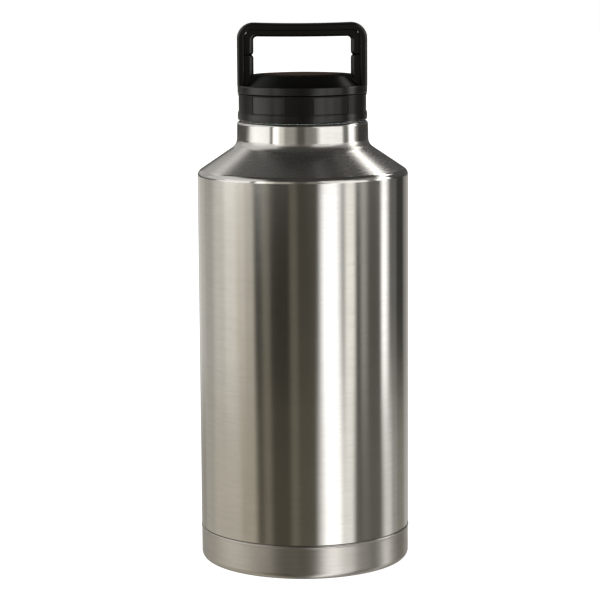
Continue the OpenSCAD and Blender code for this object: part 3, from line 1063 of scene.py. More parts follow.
@dataclass
class BottleJacket(SubAssembly):
    """The steel outside of the bottle: shell, foot cup, foot disc and the seal under it.

    Args:
        neck_radius: Outside radius of the neck at the lip.
        neck_flare: How much wider the neck is at its foot.
        neck_height: Height of the neck with its lip.
        neck_start: Height over the shoulder's top from which the neck is polished.
        neck_round: Radius between shoulder and neck.
        shoulder_angle: Angle of the shoulder above the horizontal, in radians.
        shoulder_round: Radius between body and shoulder.
        lip_round: Outer radius of the rolled lip.
        wall: Thickness of the steel.
        seam_step: Height of the groove over the foot cup.
        foot_round: Radius on the bottom edge.
        recess_radius: Radius of the recess in the foot.
        recess_slope: Width of the step down from the recess to the foot.
        dimple: Radius of the evacuation dimple and of its hole.
        dimple_slope: Width of the step round the dimple.
        press_round: Radius on the pressed edges round the dimple.
        bead: Height and stand-out of the rolled bead under the seam.
        columns: Number of faces round the axis.
    """

    neck_radius: float = 35.5 * MM
    neck_flare: float = 0.3 * MM
    neck_height: float = 12.5 * MM
    neck_start: float = 2.4 * MM
    neck_round: float = 6 * MM
    shoulder_angle: float = math.radians(34)
    shoulder_round: float = 4 * MM
    lip_round: float = 1.7 * MM
    wall: float = 0.8 * MM
    seam_step: float = 0.5 * MM
    foot_round: float = 3.5 * MM
    recess_radius: float = 43 * MM
    recess_slope: float = 1.7 * MM
    dimple: Spot = (9 * MM, 0.9 * MM)
    dimple_slope: float = 1.2 * MM
    press_round: float = 0.4 * MM
    bead: Spot = (0.7 * MM, 0.25 * MM)
    columns: int = 240

    def build(self) -> None:
        """Builds the pieces and puts them on the bottle."""
        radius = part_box("outer_shell")[1].x
        shell = self.ride(self.shell(radius), "bottle", SHELL_STEEL, "outer_shell")
        neck_foot = high_of("outer_shell") - self.neck_height + self.neck_start
        edge = neck_foot - (radius - self.neck_radius) * math.tan(self.shoulder_angle)
        self.patch(shell, CONE_STEEL, lambda face: edge < face.center.z <= neck_foot)
        self.patch(shell, NECK_STEEL, lambda face: face.center.z > neck_foot)
        self.ride(self.cup(radius), "bottle", CUP_STEEL, "base_cup")
        self.keep(CUP_STEEL, "base_disc")
        self.keep(SEAL_GLASS, "vacuum_seal")

    def shell(self, radius: float) -> Piece:
        """Spins the outer shell.

        Args:
            radius: Outside radius of the body.

        Returns:
            The shell.
        """
        lip, seam, tan = high_of("outer_shell"), high_of("base_cup"), math.tan(self.shoulder_angle)
        neck = lip - self.neck_height
        edge = neck - (radius - self.neck_radius) * tan
        wide = self.neck_radius + self.neck_flare
        corners = [
            (radius - self.wall, low_of("outer_shell"), 0),
            (radius - self.wall, seam, 0),
            (radius, seam + self.seam_step, 0.12 * MM),
            (radius, edge, self.shoulder_round),
            (wide, neck - self.neck_flare * tan, self.neck_round),
            (self.neck_radius, lip, self.lip_round),
            (self.neck_radius - self.lip_round, lip, 0),
        ]
        return turned("shell_wall", sheet_wall(corners, self.wall), even_angles(self.columns))

    def cup(self, radius: float) -> Piece:
        """Spins the foot cup.

        Args:
            radius: Outside radius of the body.

        Returns:
            The cup.
        """
        top, recess = high_of("base_cup"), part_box("base_disc")[1].z
        dimple, hole = self.dimple
        ceiling = high_of("vacuum_seal") - self.wall
        height, stand = self.bead
        corners = [
            (hole, ceiling, 0),
            (dimple, ceiling, self.press_round),
            (dimple + self.dimple_slope, recess, self.press_round),
            (self.recess_radius, recess, 0.8 * MM),
            (self.recess_radius + self.recess_slope, 0, 1.0 * MM),
            (radius, 0, self.foot_round),
            (radius, top - 2 * height, 0.2 * MM),
            (radius + stand, top - 1.5 * height, 0.25 * MM),
            (radius + stand, top - 0.8 * height, 0.25 * MM),
            (radius, top - 0.35 * height, 0.1 * MM),
            (radius, top, 0),
        ]
        return turned("foot_cup", sheet_wall(corners, self.wall), even_angles(self.columns))


@dataclass
class VacuumSpace(SubAssembly):
    """What is inside the double wall, with the inner vessel."""

    def build(self) -> None:
        """Dresses the CAD nodes, whose shapes stay."""
        self.keep(VESSEL_STEEL, "inner_vessel", "vessel_bottom")
        self.keep(FOIL, "heat_foil")
        self.keep(GETTER, "getter")


@dataclass
class PourCollar(SubAssembly):
    """The lid's lower stage: collar with grip panels, plug and gasket.

    Args:
        flange_radius: Outside radius of the chamfered flange.
        flange_height: Height of the flange.
        chamfer: Chamfer under the flange.
        band_radius: Outside radius of the grip band.
        band_inside: Inside radius of the grip band.
        plug_radius: Outside radius of the plug.
        gasket_radius: Inside radius of the collar round the gasket.
        groove: Height and depth of the groove between flange and band.
        panels: Number of grip panels.
        first_panel: Angle of the first panel's middle from +X, in radians.
        panel_angle: Angle that a panel covers, in radians.
        panel_depth: Depth of a panel.
        panel_rim: Height of the rim under and over the panels.
        panel_edge: Width of a panel's soft edge.
    """

    flange_radius: float = 35.15 * MM
    flange_height: float = 4.2 * MM
    chamfer: float = 0.95 * MM
    band_radius: float = 35.0 * MM
    band_inside: float = 32.5 * MM
    plug_radius: float = 30.2 * MM
    gasket_radius: float = 33.8 * MM
    groove: Spot = (0.35 * MM, 0.2 * MM)
    panels: int = 6
    first_panel: float = math.radians(-63)
    panel_angle: float = math.radians(34)
    panel_depth: float = 0.4 * MM
    panel_rim: Spot = (0.6 * MM, 0.7 * MM)
    panel_edge: float = 0.22 * MM

    def build(self) -> None:
        """Builds the collar and dresses the pieces inside it."""
        collar = self.ride(self.collar(), "collar", BLACK_PLASTIC, "grip_collar")
        seam = low_of("grip_collar") + self.flange_height
        # Painted light: the ribs and rims between the panels take the lighter copy of the plastic, and the
        # panels and flange keep the plain black.
        self.patch(collar, RIB_PLASTIC_PAINTED_LIGHT, lambda face: face.center.z > seam and not self.in_panel(face.center))
        self.keep(BLACK_PLASTIC, "spout_plug", "plug_cover")
        self.keep(FOAM, "collar_foam")
        self.keep(SILICONE, "mouth_gasket")

    def columns(self) -> list[float]:
        """Angles of the collar's columns, close together at the panels' edges.

        Returns:
            The angles in radians, in order.
        """
        edge = self.panel_edge / self.band_radius
        near = [edge * k / 4 for k in range(-5, 6)]
        angles = []
        for panel in range(self.panels):
            middle = self.first_panel + panel * 2 * math.pi / self.panels
            gap = 2 * math.pi / self.panels - self.panel_angle
            inside = [self.panel_angle * (k / 14 - 0.5) for k in range(1, 14)]
            outside = [self.panel_angle / 2 + gap * k / 10 for k in range(1, 10)]
            angles += [middle + a for a in inside + outside]
            for side in (-0.5, 0.5):
                angles += [middle + side * self.panel_angle + a for a in near]
        return sorted(angles)

    def panel_mask(self, angle: float, z: float) -> float:
        """How deep in a grip panel a place is.

        Args:
            angle: Angle from +X, in radians.
            z: Height, in metres.

        Returns:
            1 in a panel, 0 beside it and a soft step at its edge.
        """
        pitch = 2 * math.pi / self.panels
        off = abs((angle - self.first_panel + pitch / 2) % pitch - pitch / 2)
        across = (self.panel_angle / 2 - off) * self.band_radius / self.panel_edge + 0.5
        top = high_of("grip_collar")
        foot = low_of("grip_collar") + self.flange_height + self.panel_rim[0]
        above = (z - foot) / self.panel_edge + 0.5
        below = (top - self.panel_rim[1] - z) / self.panel_edge + 0.5
        return smooth_step(across) * smooth_step(above) * smooth_step(below)

    def in_panel(self, place: Vector) -> bool:
        """Whether a place on the band lies in a grip panel."""
        return self.panel_mask(math.atan2(place.y, place.x), place.z) > 0.9

    def collar(self) -> Piece:
        """Spins the collar and sinks its grip panels.

        Returns:
            The collar.
        """
        foot, top = low_of("grip_collar"), high_of("grip_collar")
        seam = foot + self.flange_height
        half, deep = self.groove[0] / 2, self.groove[1]
        deck, seat = seam - FIT, high_of("mouth_gasket")
        outer = self.flange_radius
        low_edge, high_edge = seam + self.panel_rim[0], top - self.panel_rim[1]
        rows = [low_edge + self.panel_edge * k / 4 for k in range(-3, 4)]
        rows += [low_edge + (high_edge - low_edge) * k / 6 for k in range(1, 6)]
        rows += [high_edge + self.panel_edge * k / 4 for k in range(-3, 4)]
        below = [
            (outer - self.chamfer, foot, 0.15 * MM),
            (outer, foot + self.chamfer, 0.3 * MM),
            (outer, seam - half, 0.12 * MM),
            (self.band_radius - deep, seam - half, 0),
            (self.band_radius - deep, seam + half, 0),
            (self.band_radius, seam + half, 0.1 * MM),
        ]
        above = [
            (self.band_radius, top - 0.5 * MM, 0),
            (self.band_radius, top, 0.35 * MM),
            (self.band_inside, top, 0.3 * MM),
            (self.band_inside, deck, 0),
            (self.plug_radius + FIT, deck, 0),
            (self.plug_radius + FIT, seat, 0),
            (self.gasket_radius, seat, 0),
            (self.gasket_radius, foot, 0.1 * MM),
            (outer - self.chamfer - 0.3 * MM, foot, 0),
        ]
        outline = rounded(below, closed=False, step=math.radians(12))
        outline += [(self.band_radius, z) for z in rows]
        outline += rounded(above, closed=False, step=math.radians(15))

        def sink(angle: float, r: float, z: float) -> float:
            """Gives the change of radius where a panel is."""
            return -self.panel_depth * self.panel_mask(angle, z) if r > self.band_radius - 0.01 * MM else 0.0

        return turned("grip_band", outline, self.columns(), sink)


@dataclass
class ScrewCap(SubAssembly):
    """The lid's upper stage without the handle: dome with its lugs, inlaid disc and liner.

    Args:
        dome_radius: Outside radius of the dome at its foot.
        dome_top: Outside radius of the dome's top.
        dome_edge: Radius on the dome's top edge.
        dome_wall: Wall of the dome.
        dome_lift: Height of the dome over the ring's underside at its foot.
        wall_step: Depth under the ring's top at which the dome's wall turns inwards.
        inlay_radius: Radius of the inlaid disc.
        inlay_rise: Rise of the disc at its middle.
        ceiling: Depth of the dome's ceiling under the disc.
        weld: Inside and outside radius of the flange that is welded to the liner.
        weld_lift: Height of the wall's foot over the flange's underside.
        ring_height: Height of the handle ring, over which the dome stands.
        opening: Half the width of the finger opening.
        arm_inside: Inside radius of the handle's strap.
        lug_height: Height of the lugs above the ring.
        lug_lift: Gap between a lug's foot and the ring's top.
        lug_depth: Depth of a lug from front to back.
        lug_edge: Radius on a lug's edges towards the opening.
        lug_end: Radius on a lug's top.
        notch: Gap between a lug and the grip half.
        columns: Number of faces round the dome and round the disc.
    """

    dome_radius: float = 31.25 * MM
    dome_top: float = 27.3 * MM
    dome_edge: float = 1.4 * MM
    dome_wall: float = 2 * MM
    dome_lift: float = 1.6 * MM
    wall_step: float = 0.8 * MM
    inlay_radius: float = 23.5 * MM
    inlay_rise: float = 0.7 * MM
    ceiling: float = 1.8 * MM
    weld: Spot = (24.6 * MM, 26.9 * MM)
    weld_lift: float = 1.0 * MM
    ring_height: float = 4.2 * MM
    opening: float = 26.35 * MM
    arm_inside: float = 31.45 * MM
    lug_height: float = 16.2 * MM
    lug_lift: float = 0.05 * MM
    lug_depth: float = 12.4 * MM
    lug_edge: float = 2.2 * MM
    lug_end: float = 1.6 * MM
    notch: float = 0.2 * MM
    columns: tuple[int, int] = (168, 144)

    def build(self) -> None:
        """Builds the dome and the disc and dresses the pieces under them."""
        # Painted light: the dome takes the lighter copy of the plastic, while its lugs keep the plain black.
        dome = self.ride(self.dome(), "cap", DOME_PLASTIC_PAINTED_LIGHT, "cap_shell")
        lug_side = (self.opening + self.dome_radius) / 2 - self.lug_edge
        ring_top = low_of("handle_frame") + self.ring_height
        seam = ring_top + self.lug_height - self.notch
        high = seam - self.notch
        self.patch(dome, BLACK_PLASTIC, lambda f: abs(f.center.x) > lug_side and f.center.z > ring_top)
        # Painted shade on the lugs' flat tops inside the notch under the grip half.
        self.patch(dome, NOTCH_SHADE_PLASTIC, lambda f: lies_flat(f) and f.center.z > high)
        # The disc takes its brown painted reflection.
        self.ride(self.disc(), "cap", INLAY_PAINTED_REFLECTION, "top_disc")
        self.keep(LINER_PLASTIC, "cap_liner")
        self.keep(FOAM, "cap_foam")
        self.keep(SILICONE, "spout_gasket")

    def dome(self) -> Piece:
        """Spins the dome and adds its two lugs.

        Returns:
            The dome.
        """
        ring = low_of("handle_frame")
        ring_top, disc_foot = ring + self.ring_height, low_of("top_disc")
        top = high_of("top_disc") - self.inlay_rise
        plate = high_of("cap_liner")
        inner = self.dome_radius - self.dome_wall
        corners = [
            (0, disc_foot - self.ceiling, 0),
            (self.weld[0], disc_foot - self.ceiling, 0.3 * MM),
            (self.weld[0], plate, 0),
            (self.weld[1], plate, 0),
            (self.weld[1], plate + self.weld_lift, 0),
            (inner, ring_top - self.wall_step, 0),
            (inner, ring + self.dome_lift, 0),
            (self.dome_radius, ring + self.dome_lift, 0),
            (self.dome_radius, ring_top, 0.6 * MM),
            (self.dome_top, top, self.dome_edge),
            (self.inlay_radius + FIT, top, 0.15 * MM),
            (self.inlay_radius + FIT, disc_foot, 0),
            (0, disc_foot, 0),
        ]
        shape = Shape()
        shape.spin(rounded(corners), even_angles(self.columns[0]))
        for side in (-1, 1):
            shape.net(self.lug(side, ring_top), capped=True)
        return shape.build("cap_dome")

    def lug(self, side: int, foot: float) -> list[list[Place]]:
        """Rows of one lug, from its foot to its rounded top.

        Args:
            side: -1 for the left lug and 1 for the right one.
            foot: Height of the ring's top, where the lug starts.

        Returns:
            The rows of points.
        """
        top = foot + self.lug_height - self.notch / 2
        heights = [foot + self.lug_lift, foot + self.lug_height / 2]
        pulls = [0.0, 0.0]
        for turn in quarter(8):
            heights.append(top - self.lug_end * (1 - math.sin(turn)))
            pulls.append(self.lug_end * (1 - math.cos(turn)))
        half = self.lug_depth / 2
        rows = []
        for height, pull in zip(heights, pulls):
            face = self.opening + pull
            ring = rounded(
                [
                    (face, -half, self.lug_edge),
                    (self.arm_inside - FIT, -half, 0.2 * MM),
                    (self.arm_inside - FIT, half, 0.2 * MM),
                    (face, half, self.lug_edge),
                ],
                step=math.radians(12),
            )
            rows.append([(side * x, y, height) for x, y in ring])
        return rows

    def disc(self) -> Piece:
        """Spins the slightly domed disc.

        Returns:
            The disc.
        """
        foot, top = low_of("top_disc"), high_of("top_disc")
        edge = top - self.inlay_rise
        outline = [(0.0, foot), (self.inlay_radius, foot), (self.inlay_radius, edge - 0.2 * MM)]
        outline += [
            (self.inlay_radius * math.cos(a), edge + self.inlay_rise * math.sin(a))
            for a in (math.radians(2 + 88 * k / 24) for k in range(25))
        ]
        return turned("inlay_disc", [(max(0.0, r), z) for r, z in outline], even_angles(self.columns[1]))


@dataclass
class CarryHandle(SubAssembly):
    """The rigid loop: a ring with its outer strap in one moulding, the grip half inside it and two pins.

    Args:
        ring_radius: Outside radius of the ring.
        ring_inside: Inside radius of the ring's upper part and of the strap.
        ring_floor: Inside radius and thickness of the ring's floor.
        ring_height: Height of the ring.
        strap: Thickness of the strap.
        strap_depth: Depth of the strap from front to back.
        strap_round: Radius on the strap's outer corners.
        strap_edge: Radius on the strap's outer edges.
        strap_inner_edge: Radius on the strap's inner edges.
        strap_stand: How far the strap stands out from the ring.
        foot_sunk: How deep the strap's feet reach into the ring.
        crown: Radius of the strap's crowned outside.
        grip: Thickness of the grip half beside the arms and under the bar.
        grip_depth: Depth of the grip half from front to back.
        grip_edge: Radius on the grip half's edges.
        grip_end: Radius on the grip half's two ends.
        end_pull: How far the grip half is drawn in at its two ends.
        end_steps: Number of steps round such an end.
        opening_round: Radius on the corners of the finger opening.
        lug_height: Height of the lugs above the ring.
        notch: Gap between the grip half and a lug.
        dip: Dip of the bar in its middle.
        columns: Number of faces round the ring.
    """

    ring_radius: float = 35.15 * MM
    ring_inside: float = 31.45 * MM
    ring_floor: Spot = (28.85 * MM, 1.6 * MM)
    ring_height: float = 4.2 * MM
    strap: float = 3.7 * MM
    strap_depth: float = 17 * MM
    strap_round: float = 8.7 * MM
    strap_edge: float = 1.1 * MM
    strap_inner_edge: float = 0.4 * MM
    strap_stand: float = 0.12 * MM
    foot_sunk: float = 0.5 * MM
    crown: float = 60 * MM
    grip: Spot = (5 * MM, 3.7 * MM)
    grip_depth: float = 12.4 * MM
    grip_edge: float = 2.2 * MM
    grip_end: float = 1.6 * MM
    end_pull: float = 0.96 * MM
    end_steps: int = 6
    opening_round: float = 2.2 * MM
    lug_height: float = 16.2 * MM
    notch: float = 0.2 * MM
    dip: float = 0.5 * MM
    columns: int = 168

    def build(self) -> None:
        """Builds the strap with its ring and the grip half."""
        self.ride(self.strap_piece(), "cap", BLACK_PLASTIC, "handle_frame")
        grip = self.ride(self.grip_piece(), "cap", BLACK_PLASTIC, "grip_liner")
        seam = self.ring_top + self.lug_height + self.notch * 2
        # Painted shade on the grip half's flat ends inside the notch over the lugs.
        self.patch(grip, NOTCH_SHADE_PLASTIC, lambda face: lies_flat(face) and face.center.z < seam)
        self.keep(VESSEL_STEEL, "liner_pins")

    @property
    def ring_top(self) -> float:
        """Height of the ring's top."""
        return low_of("handle_frame") + self.ring_height

    @property
    def opening(self) -> float:
        """Half the width of the finger opening."""
        return self.ring_inside - FIT - self.grip[0]

    def sag(self, x: float, depth: float) -> float:
        """Height of the dipped bar at x against the sides of the opening, in metres."""
        return -depth * (1 - (x / self.opening) ** 2)

    def half_u(
        self, x: float, z: float, corner: float, foot: float, depth: float, bend: int, run: int
    ) -> list[Spot]:
        """One half of a U-shaped line, from the foot of an arm to the middle of the bar.

        Args:
            x: Distance of the arm from the middle.
            z: Height of the bar at its ends.
            corner: Radius of the corner.
            foot: Height of the arm's foot.
            depth: Dip of the bar in its middle.
            bend: Number of steps round the corner.
            run: Number of steps along half the bar.

        Returns:
            The points as (x, z).
        """
        spots = [(x, foot + self.grip_end * (1 - math.cos(turn))) for turn in quarter(self.end_steps)]
        low = spots[-1][1]
        spots += [(x, low + (z - corner - low) * k / 3) for k in (1, 2)]
        for turn in quarter(bend):
            spots.append((x - corner + corner * math.cos(turn), z - corner + corner * math.sin(turn)))
        for k in range(1, run + 1):
            reach = (x - corner) * (1 - k / run)
            spots.append((reach, z + self.sag(reach, depth) - self.sag(x - corner, depth)))
        return spots

    def whole_u(self, *sizes: float) -> list[Spot]:
        """The U-shaped line from one foot to the other, by the sizes that half_u takes."""
        half = self.half_u(*sizes, 18, 16)
        return half + [(-x, z) for x, z in reversed(half[:-1])]

    def sweep(self, inner: list[Spot], outer: list[Spot], section: list[Place], pulls: list[float]) -> Shape:
        """Sweeps a section between an inner and an outer U.

        Args:
            inner: Points of the inner U.
            outer: Points of the outer U.
            section: Each point as 0 on the inner or 1 on the outer U, depth into the solid, and place in Y.
            pulls: How far the section is drawn in at each point of the U.

        Returns:
            The swept shape.
        """
        rows = []
        for near, far, pull in zip(inner, outer, pulls):
            start, end = Vector(near), Vector(far)
            out = (end - start).normalized()
            row = []
            for side, depth, y in section:
                spot = start + out * (depth + pull) if side == 0 else end - out * depth
                row.append((spot.x, y - math.copysign(pull, y), spot.y))
            rows.append(row)
        shape = Shape()
        shape.net(rows, capped=True)
        return shape

    def strap_piece(self) -> Piece:
        """Builds the strap and the ring.

        Returns:
            The one moulding of both.
        """
        foot, top = self.ring_top - self.foot_sunk, high_of("handle_frame")
        stand, wall = self.strap_stand, self.strap
        inner = self.whole_u(self.ring_inside, top - wall, self.strap_round - wall, foot, self.dip)
        outer = self.whole_u(self.ring_radius + stand, top, self.strap_round + stand, foot, self.dip)
        half = self.strap_depth / 2
        flat = half - self.strap_edge
        near, far = self.strap_inner_edge, self.strap_edge
        front = [(0, near * (1 - math.sin(a)), near * (1 - math.cos(a)) - half) for a in reversed(quarter(4))]
        front += [
            (1, self.rise(flat) + far * (1 - math.cos(a)), far * (1 - math.sin(a)) - half)
            for a in reversed(quarter(8))
        ]
        crown = [(1, self.rise(y), y) for y in (flat * k / 6 for k in range(-5, 6))]
        back = [(side, depth, -y) for side, depth, y in reversed(front)]
        shape = self.sweep(inner, outer, front + crown + back, [0.0] * len(inner))
        low = low_of("handle_frame")
        corners = [
            (self.ring_floor[0], low, 0),
            (self.ring_radius, low, 0.3 * MM),
            (self.ring_radius, self.ring_top, 0.5 * MM),
            (self.ring_inside, self.ring_top, 0.3 * MM),
            (self.ring_inside, low + self.ring_floor[1], 0),
            (self.ring_floor[0], low + self.ring_floor[1], 0),
        ]
        shape.spin(rounded(corners, step=math.radians(12)), even_angles(self.columns))
        return shape.build("carry_strap")

    def rise(self, y: float) -> float:
        """How far the crowned outside of the strap lies in at y, in metres."""
        return self.crown - math.sqrt(self.crown**2 - y**2)

    def grip_piece(self) -> Piece:
        """Builds the inner half of the handle, rounded at its two ends.

        Returns:
            The grip half.
        """
        foot, top = self.ring_top + self.lug_height + self.notch / 2, high_of("handle_frame")
        cover = self.strap + FIT
        under = top - cover - self.grip[1]
        inner = self.whole_u(self.opening, under, self.opening_round, foot, self.dip / 2)
        outer = self.whole_u(self.ring_inside - FIT, top - cover, self.strap_round - cover, foot, self.dip)
        pulls = [0.0] * len(inner)
        for k, turn in enumerate(quarter(self.end_steps)):
            pulls[k] = pulls[-1 - k] = self.end_pull * (1 - math.sin(turn))
        half = self.grip_depth / 2
        edge = self.grip_edge
        front = [(0, edge * (1 - math.cos(a)), edge * (1 - math.sin(a)) - half) for a in quarter(8)]
        front += [(1, 0.2 * MM, -half), (1, 0.0, -half + 0.2 * MM)]
        back = [(side, depth, -y) for side, depth, y in reversed(front)]
        return self.sweep(inner, outer, front + back, pulls).build("grip_half")


# ---- studio ----


@dataclass(frozen=True)
class Card:
    """One upright strip of the studio, seen from the object.

    Args:
        start: Azimuth of its first edge in degrees, 0 towards the camera and 90 towards +X.
        end: Azimuth of its other edge.
        level: How bright it is.
        warmth: How much redder than blue it is.
    """

    start: float
    end: float
    level: float
    warmth: float = 0.06


@dataclass(frozen=True)
class Belt:
    """Upright strips all round the studio between two elevations.

    Args:
        name: The belt's name.
        soft: Half the width of the soft edge between two strips, in degrees.
        cards: The strips in order of azimuth, from -180 to 180 degrees.
    """

    name: str
    soft: float
    cards: tuple[Card, ...]

    def ramp(self, graph: Graph, turn: Socket) -> Socket:
        """Builds the belt as one colour ramp for each side of the camera.

        Args:
            graph: The world's graph.
            turn: The azimuth as a share of a whole turn.

        Returns:
            The belt's colour.
        """
        left = self.half(graph, turn, [card for card in self.cards if card.start < 0])
        right = self.half(graph, turn, [card for card in self.cards if card.end > 0])
        return graph.blend(graph.sum("GREATER_THAN", turn, 0.5), left, right)

    def half(self, graph: Graph, turn: Socket, cards: list[Card]) -> Socket:
        """Builds the ramp of one side.

        Args:
            graph: The world's graph.
            turn: The azimuth as a share of a whole turn.
            cards: The strips of that side.

        Returns:
            The ramp's colour.
        """
        node = graph.add("ShaderNodeValToRGB", label=self.name)
        stops = node.color_ramp.elements
        while len(stops) > 1:
            stops.remove(stops[0])
        first = True
        for card in cards:
            colour = tuple(card.level * (1 + card.warmth * tint) for tint in WARM_TINT)
            for edge in (card.start + self.soft, card.end - self.soft):
                place = (min(180.0, max(-180.0, edge)) + 180) / 360
                stop = stops[0] if first else stops.new(place)
                stop.position = place
                stop.color = (*colour, 1.0)
                first = False
        graph.feed(node.inputs[0], turn)
        return node.outputs[0]


@dataclass(frozen=True)
class Lamp:
    """One soft-edged panel of light above the object.

    Args:
        azimuth: Its first and last azimuth in degrees.
        elevation: Its lowest and highest elevation in degrees.
        level: How bright it is.
        soft: Width of its soft edge, in degrees.
    """

    azimuth: Spot
    elevation: Spot
    level: float
    soft: float = 3.0

    def edge(self, graph: Graph, value: Socket, span: Spot) -> Socket:
        """Builds a mask that is 1 inside a span of degrees.

        Args:
            graph: The world's graph.
            value: The angle in degrees.
            span: First and last angle of the panel.

        Returns:
            The mask.
        """
        half = self.soft / 2
        rise = graph.span(value, (span[0] - half, span[0] + half), smooth=True)
        fall = graph.span(value, (span[1] - half, span[1] + half), (1.0, 0.0), smooth=True)
        return graph.times(rise, fall)

    def over(self, graph: Graph, light: Socket, azimuth: Socket, up: Socket) -> Socket:
        """Lays the panel over the light that is there.

        Args:
            graph: The world's graph.
            light: The light's colour without the panel.
            azimuth: The azimuth in degrees.
            up: The elevation in degrees.

        Returns:
            The light's colour with the panel.
        """
        mask = graph.times(self.edge(graph, azimuth, self.azimuth), self.edge(graph, up, self.elevation))
        return graph.blend(mask, light, (*(self.level * tint for tint in LAMP_TINT), 1.0))


TABLE = Belt("table", 1.2, (
    Card(-180, -171, 0.03, 0.1), Card(-167, -158, 0.74, 0.05), Card(-154, -140, 0.6, 0.06),
    Card(-136, -120, 0.5, 0.07), Card(-112, -98, 0.72, 0.07), Card(-94, -81, 0.9, 0.07),
    Card(-76, -68, 0.68, 0.11), Card(-66, -56.5, 0.52, 0.11), Card(-54.5, -47, 0.02, 0.2),
    Card(-45, -38, 0.15, 0.18), Card(-36, -16, 0.02, 0.2), Card(-14, -7, 0.14, 0.18),
    Card(-6, 16, 0.065, 0.18), Card(21, 36.5, 1.95, 0.01), Card(42, 45, 0.3, 0.05),
    Card(47, 57, 1.25, 0.06), Card(59, 64, 0.05, 0.12), Card(66, 71, 0.42, 0.08),
    Card(75, 93, 0.1, 0.1), Card(95.5, 102, 1.9, 0.02), Card(108, 122, 0.16, 0.06),
    Card(124, 140, 0.05, 0.08), Card(146, 152, 0.3, 0.06), Card(158, 167, 0.45, 0.06),
    Card(171, 180, 0.03, 0.1),
))
LOW = Belt("low", 1.2, (
    Card(-180, -171, 0.04, 0.1), Card(-167, -160, 0.38, 0.08), Card(-156, -144, 0.34, 0.08),
    Card(-140, -122, 0.46, 0.1), Card(-116, -76, 0.54, 0.12), Card(-72, -56, 0.42, 0.16),
    Card(-52, -46, 0.11, 0.2), Card(-43, -38, 0.19, 0.2), Card(-34, -16, 0.08, 0.2),
    Card(-13, -8, 0.17, 0.18), Card(-5, 13, 0.11, 0.2), Card(23.5, 40, 1.8, 0.02),
    Card(42, 54.5, 1.1, 0.04), Card(58, 66, 0.13, 0.1), Card(68, 76, 0.17, 0.1),
    Card(78, 94, 0.14, 0.1), Card(101, 111, 0.85, 0.03), Card(115, 122, 0.42, 0.06),
    Card(127, 142, 0.28, 0.1), Card(150, 166, 0.48, 0.06), Card(171, 180, 0.04, 0.1),
))
LID = Belt("lid", 1.0, (
    Card(-180, -118, 0.06, 0.05), Card(-106, -100, 1.4, 0.03), Card(-94, -72, 2.7, 0.03),
    Card(-64, -58, 1.8, 0.03), Card(-52, -46, 1.2, 0.03), Card(-40, -34, 0.45, 0.05),
    Card(-30, -22, 0.2, 0.05), Card(-16, 20, 0.05, 0.05), Card(26, 31, 0.28, 0.03),
    Card(38, 64, 0.85, 0.02), Card(74, 80, 0.4, 0.02), Card(88, 94, 0.12, 0.02),
    Card(102, 180, 0.05, 0.02),
))
LEVEL = Belt("level", 1.0, (
    Card(-180, -170, 0.03, 0.05), Card(-166, -110, 0.12, 0.1), Card(-102, -60, 1.3, 0.02),
    Card(-58.5, -53.5, 0.1, 0.06), Card(-53, -44, 1.9, 0.03), Card(-40, -34, 0.95, 0.08),
    Card(-31, -15, 0.45, 0.08), Card(-8, 2, 0.12, 0.12), Card(6, 24, 0.3, 0.08),
    Card(31, 73, 1.45, 0.03), Card(76, 86, 0.22, 0.06), Card(90, 99.5, 2.2, 0.02),
    Card(107, 113, 0.3, 0.06), Card(114, 130, 0.06, 0.1), Card(142, 148, 0.08, 0.06),
    Card(155, 165, 0.12, 0.04), Card(171, 180, 0.03, 0.05),
))
LAMPS = (
    Lamp((-167, -130), (2, 28), 0.5, 6.0), Lamp((-132, -96), (5, 24), 0.75, 6.0),
    Lamp((112, 172), (5, 38), 0.09, 5.0), Lamp((-172, -130), (28, 38), 0.95, 8.0),
    Lamp((-130, -50), (22, 50), 0.85, 14.0), Lamp((-180, -136), (50, 68), 0.14, 10.0),
    Lamp((20, 50), (8, 35), 1.1, 8.0), Lamp((60, 96), (18, 40), 0.3, 10.0),
    Lamp((98, 110), (4, 31), 2.6, 3.0), Lamp((110, 136), (29, 41), 2.4, 4.0),
    Lamp((136, 153), (37, 44.5), 4.0, 2.0), Lamp((134, 142), (58, 62), 0.45, 3.0),
    Lamp((146, 160), (70, 74), 0.4, 3.0),
)


